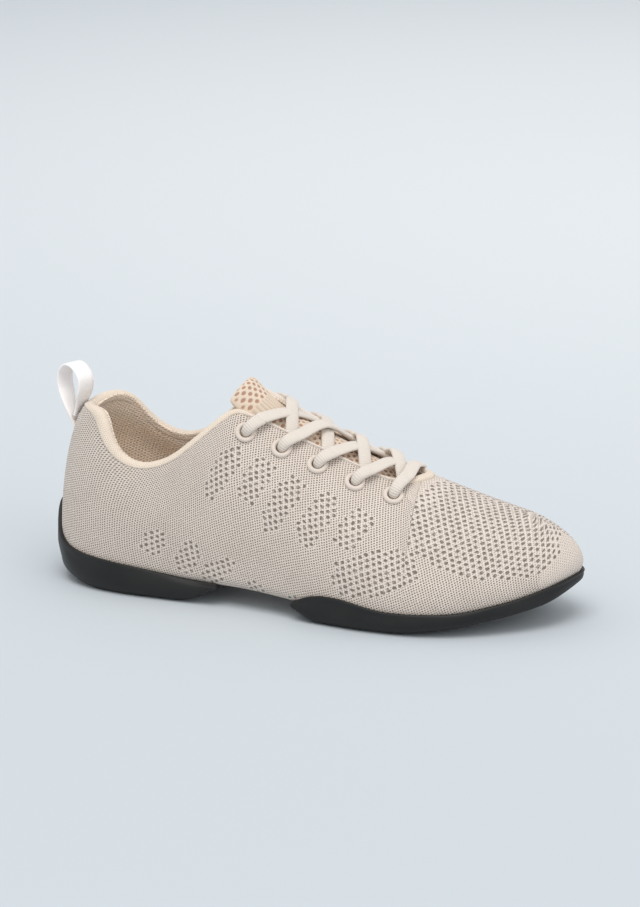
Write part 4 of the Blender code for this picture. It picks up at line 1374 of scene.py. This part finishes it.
def lace_strand(stops, count=90):
    """A closed flat-oval tube along a smooth line through stops, each a point, the way that
    the lace's flat faces there, its width and its thickness."""
    numbers = smooth_line([np.concatenate([place, out, [width, thick]])
                           for place, out, width, thick in stops], count)
    line = numbers[:, :3]
    run = unit(np.gradient(line, axis=0))
    across = unit(np.cross(run, numbers[:, 3:6]))
    out = unit(np.cross(across, run))
    turn = np.linspace(0, 2 * math.pi, 24, endpoint=False)
    wide = np.sign(np.cos(turn)) * np.abs(np.cos(turn)) ** 0.8
    high = np.sign(np.sin(turn)) * np.abs(np.sin(turn)) ** 0.9
    ends = np.ones(count)
    ends[[0, -1]] = 0.02
    ends[[1, -2]] = 0.8
    half_width = (numbers[:, 6] / 2 * ends)[:, None, None]
    half_thick = (numbers[:, 7] / 2 * ends)[:, None, None]
    tube = (line[:, None, :] + across[:, None, :] * wide[None, :, None] * half_width
            + out[:, None, :] * high[None, :, None] * half_thick)
    lace_map = np.stack(np.broadcast_arrays(travel(line)[:, None], turn[None, :] * 3.0), axis=-1)
    return sheet(tube, lace_map, turned=False, round_columns=True)


def lace_finish():
    """Light woven lace: fine ribs across it and soft shade between them."""
    finish, shader, wire = new_finish("light_lace_weave", 0.9, 0.3)
    places = cloth_places(wire, 0.15)
    rib = cross_ribs(wire, wire.split(places)[0], LACE_RIB_PITCH)
    strand = wire.noise(places, 2.2)
    shade = wire.times(wire.less(1.0, rib), 0.4)
    height = wire.plus(rib, wire.times(strand, 0.5))
    dress(wire, shader, wire.colour(shade, LACE_YARN, LACE_FURROW), height, 0.5, 0.00035)
    return finish


def lace_out_of(side, along, forward_lean):
    """Stops from inside an eyelet's hole up over its ring towards the throat."""
    stops = []
    for ahead, from_hole, lift_by, width, thick in (
        (0.0, 0.0, -4.0, 4.6, 3.6),
        (0.2, 0.3, 0.8, 4.9, 3.9),
        (1.0, 2.3, 3.3, 5.8, 3.6),
        (2.4, 5.0, 3.9, 6.2, 3.2),
        (3.8, 7.7, 3.5, 6.4, 2.8),
    ):
        lift_by -= 0.6 * from_hole ** 0.5 * (side == MEDIAL)
        place, out, _ = skin_place(side, along + ahead * forward_lean,
                                   EYELET_FROM_EDGE - from_hole, lift_by)
        stops.append((place, out, width, thick))
    return stops


# How far ahead of its eyelet each lace passes over its edge of the throat, and how high.
EDGE_AHEAD = {LATERAL: (7.5, 7.0, 7.0, 6.5, 4.5), MEDIAL: (12.0, 12.0, 10.5, 7.5, 5.5)}
EDGE_LIFT = {LATERAL: 3.1, MEDIAL: 1.9}
lace_sheets = []
last = len(EYELET_PLACES) - 1
for number in range(last):
    for side in (LATERAL, MEDIAL):
        near = EYELET_PLACES[number]
        far = EYELET_PLACES[number + 1]
        on_top = (side == MEDIAL) != (number == 1)
        ahead = EDGE_AHEAD[side][number]
        edge, edge_out, _ = skin_place(side, near + ahead, 0.3, EDGE_LIFT[side])
        beyond = 3.0 if side == MEDIAL else EDGE_AHEAD[MEDIAL][number + 1] - 3.0
        far_edge, beside_out, _ = skin_place(-side, far + beyond, 0.3, -0.6)
        under, under_out, _ = skin_place(-side, far + beyond + 1.0, 4.5, -3.6)
        beside = far_edge + 1.6 * unit(edge - far_edge)
        middle = (edge + beside) / 2
        middle[2] += CROSSING_RISE + (UPPER_LACE_RISE if on_top else 0.0)
        up = unit(edge_out + beside_out)
        stops = lace_out_of(side, near, ahead / 5) + [
            (edge, unit(edge_out + up), LACE_WIDTH, LACE_THICKNESS),
            (middle, up, LACE_WIDTH, LACE_THICKNESS),
            (beside, unit(beside_out + up), LACE_WIDTH, LACE_THICKNESS),
            (under, under_out, LACE_WIDTH, LACE_THICKNESS),
        ]
        lace_sheets.append(lace_strand(stops))
front = EYELET_PLACES[last]
halves = [lace_out_of(side, front, EDGE_AHEAD[side][last] / 5) for side in (LATERAL, MEDIAL)]
edges = [skin_place(side, front + EDGE_AHEAD[side][last], 0.3, EDGE_LIFT[side])
         for side in (LATERAL, MEDIAL)]
bar_middle = (edges[0][0] + edges[1][0]) / 2 + (0, 0, 2.4)
bar_stops = halves[0] + [
    (edges[0][0], edges[0][1], LACE_WIDTH, LACE_THICKNESS),
    (bar_middle, unit(edges[0][1] + edges[1][1]), LACE_WIDTH, LACE_THICKNESS),
    (edges[1][0], edges[1][1], LACE_WIDTH, LACE_THICKNESS),
] + halves[1][::-1]
lace_sheets.append(lace_strand(bar_stops))
lace = piece("lace", lace_sheets, lace_finish())
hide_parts("laces")
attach(lace, "root")


# Pull loop
# A woven off-white tape, sewn down on the back seam, looped above the collar and let in
# again behind itself.
LOOP_WIDTH = 10.0
LOOP_THICKNESS = 1.3
LOOP_TURN = 27.0
LOOP_TURNS_OVER = (80.0, 94.0)
LOOP_MIDDLE = 5.5
TAPE_RIB_PITCH = 1.0
TAPE_YARN = (1.0, 0.965, 0.95, 1.0)
TAPE_FURROW_SHADE = (0.92, 0.86, 0.83, 1.0)
LOOP_ROUTE = Rows("step x z", [
    (0, 7.6, 74),
    (1, 6, 77.5),
    (2, 4, 81.8),
    (3, 1.6, 88),
    (4, -1.4, 95),
    (5, -1, 101.5),
    (6, 3.5, 105.8),
    (7, 9, 105),
    (8, 13.2, 100.5),
    (9, 13.4, 95),
    (10, 11, 89.5),
    (11, 9, 85.2),
    (12, 7, 81),
])


def loop_grid():
    """The tape's rounded flat cross-section carried along its route."""
    line = smooth_line(LOOP_ROUTE.rows[:, 1:], 140)
    line = np.stack([line[:, 0], 0 * line[:, 0], line[:, 1]], axis=-1)
    turned = math.radians(LOOP_TURN) * ease(np.interp(line[:, 2], LOOP_TURNS_OVER, (0.0, 1.0)))
    across = np.stack([np.sin(turned), np.cos(turned), 0 * turned], axis=-1)
    forward = line[:, 0] - LOOP_MIDDLE
    line[:, 0] = LOOP_MIDDLE + forward * np.cos(turned)
    line[:, 1] = -forward * np.sin(turned)
    run = unit(np.gradient(line, axis=0))
    out = unit(np.cross(run, across))
    across = np.cross(out, run)[:, None, :]
    half = LOOP_WIDTH / 2
    thick = LOOP_THICKNESS / 2
    outline = np.array([
        (-half, -0.4 * thick), (-half, 0.4 * thick), (-half + 0.4, thick), (-half / 2, thick),
        (0, thick), (half / 2, thick), (half - 0.4, thick), (half, 0.4 * thick),
        (half, -0.4 * thick), (half - 0.4, -thick), (half / 2, -thick), (0, -thick),
        (-half / 2, -thick), (-half + 0.4, -thick),
    ])
    grid = (line[:, None, :] + across * outline[None, :, 0, None]
            + out[:, None, :] * outline[None, :, 1, None])
    return grid, np.stack(np.broadcast_arrays(travel(line)[:, None], outline[None, :, 0]), axis=-1)


def tape_finish():
    """Off-white twill tape: fine slanting ribs that turn back in the middle, with painted shade in
    the furrows.
    """
    finish, shader, wire = new_finish("white_tape_weave", 0.85, 0.3)
    run, sideways, _ = wire.split(cloth_places(wire, 0.1))
    slant = wire.plus(run, wire.math("ABSOLUTE", sideways))
    rib = cross_ribs(wire, slant, TAPE_RIB_PITCH)
    # Painted shade in the furrows between the ribs.
    shade = wire.times(wire.less(1.0, rib), 0.4)
    dress(wire, shader, wire.colour(shade, TAPE_YARN, TAPE_FURROW_SHADE), rib, 0.4, 0.0003)
    return finish


loop_sheet = sheet(*loop_grid(), turned=False, round_columns=True)
loop = piece("tape_loop", [loop_sheet], tape_finish(), weld=0.0)
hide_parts("pull_loop")
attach(loop, "root")


# Floor and light
# A pale blue-grey sweep with a painted pool of light behind the shoe, and painted shade further
# from it. A large soft lamp hangs over it, with a weaker one ahead of the toe.
FLOOR_SIZE = 12.0
# Painted light: the floor's colour is lighter near a middle point behind the shoe and painted
# darker away from it.
FLOOR_PAINTED_POOL_LIGHT = (0.75, 0.79, 0.82, 1.0)
FLOOR_PAINTED_FALLOFF_SHADE = (0.552, 0.60, 0.638, 1.0)
PAINTED_LIGHT_POOL_MIDDLE = (0.15, 1.3, 0.0)
floor_mesh = bpy.data.meshes.new("floor")
floor_mesh.from_pydata([(-FLOOR_SIZE, -FLOOR_SIZE, 0), (FLOOR_SIZE, -FLOOR_SIZE, 0),
                        (FLOOR_SIZE, FLOOR_SIZE, 0), (-FLOOR_SIZE, FLOOR_SIZE, 0)],
                       [], [(0, 1, 2, 3)])
floor = put_in_scene("floor", floor_mesh)
floor_paint, floor_shader, floor_wire = new_finish("pale_floor", 0.9)
floor_place = floor_wire.add("ShaderNodeTexCoord", (), 3)
# Painted pool of light: the colour fades from light to shade with distance from the middle.
painted_pool_fade = floor_wire.add("ShaderNodeVectorMath", (floor_place, PAINTED_LIGHT_POOL_MIDDLE), 1,
                            operation="DISTANCE")
painted_pool_fade = floor_wire.fade(painted_pool_fade, 0.2, 1.7)
floor_colour = floor_wire.colour(painted_pool_fade, FLOOR_PAINTED_POOL_LIGHT, FLOOR_PAINTED_FALLOFF_SHADE)
floor_wire.tree.links.new(floor_colour, floor_shader["Base Color"])
floor_mesh.materials.append(floor_paint)

sky = bpy.data.worlds.new("studio")
bpy.context.scene.world = sky
sky.use_nodes = True
background = sky.node_tree.nodes["Background"]
background.inputs["Color"].default_value = (0.97, 0.985, 1.0, 1.0)
background.inputs["Strength"].default_value = 0.74


def soft_lamp(name, place, aim, size, power, colour):
    """A square soft box that faces a point."""
    data = bpy.data.lights.new(name, "AREA")
    data.size = size
    data.energy = power
    data.color = colour
    lamp = put_in_scene(name, data)
    lamp.location = place
    lamp.rotation_mode = "QUATERNION"
    lamp.rotation_quaternion = (Vector(aim) - Vector(place)).to_track_quat("-Z", "Y")


soft_lamp("key", (0.2, -1.8, 4.2), (0.08, 0, 0.04), 2.6, 100.0, (1.0, 0.985, 0.965))
soft_lamp("fill", (3.2, -2.0, 2.4), (0.1, 0, 0.04), 2.5, 24.0, (1.0, 1.0, 1.0))
bpy.context.scene.view_settings.view_transform = "Standard"
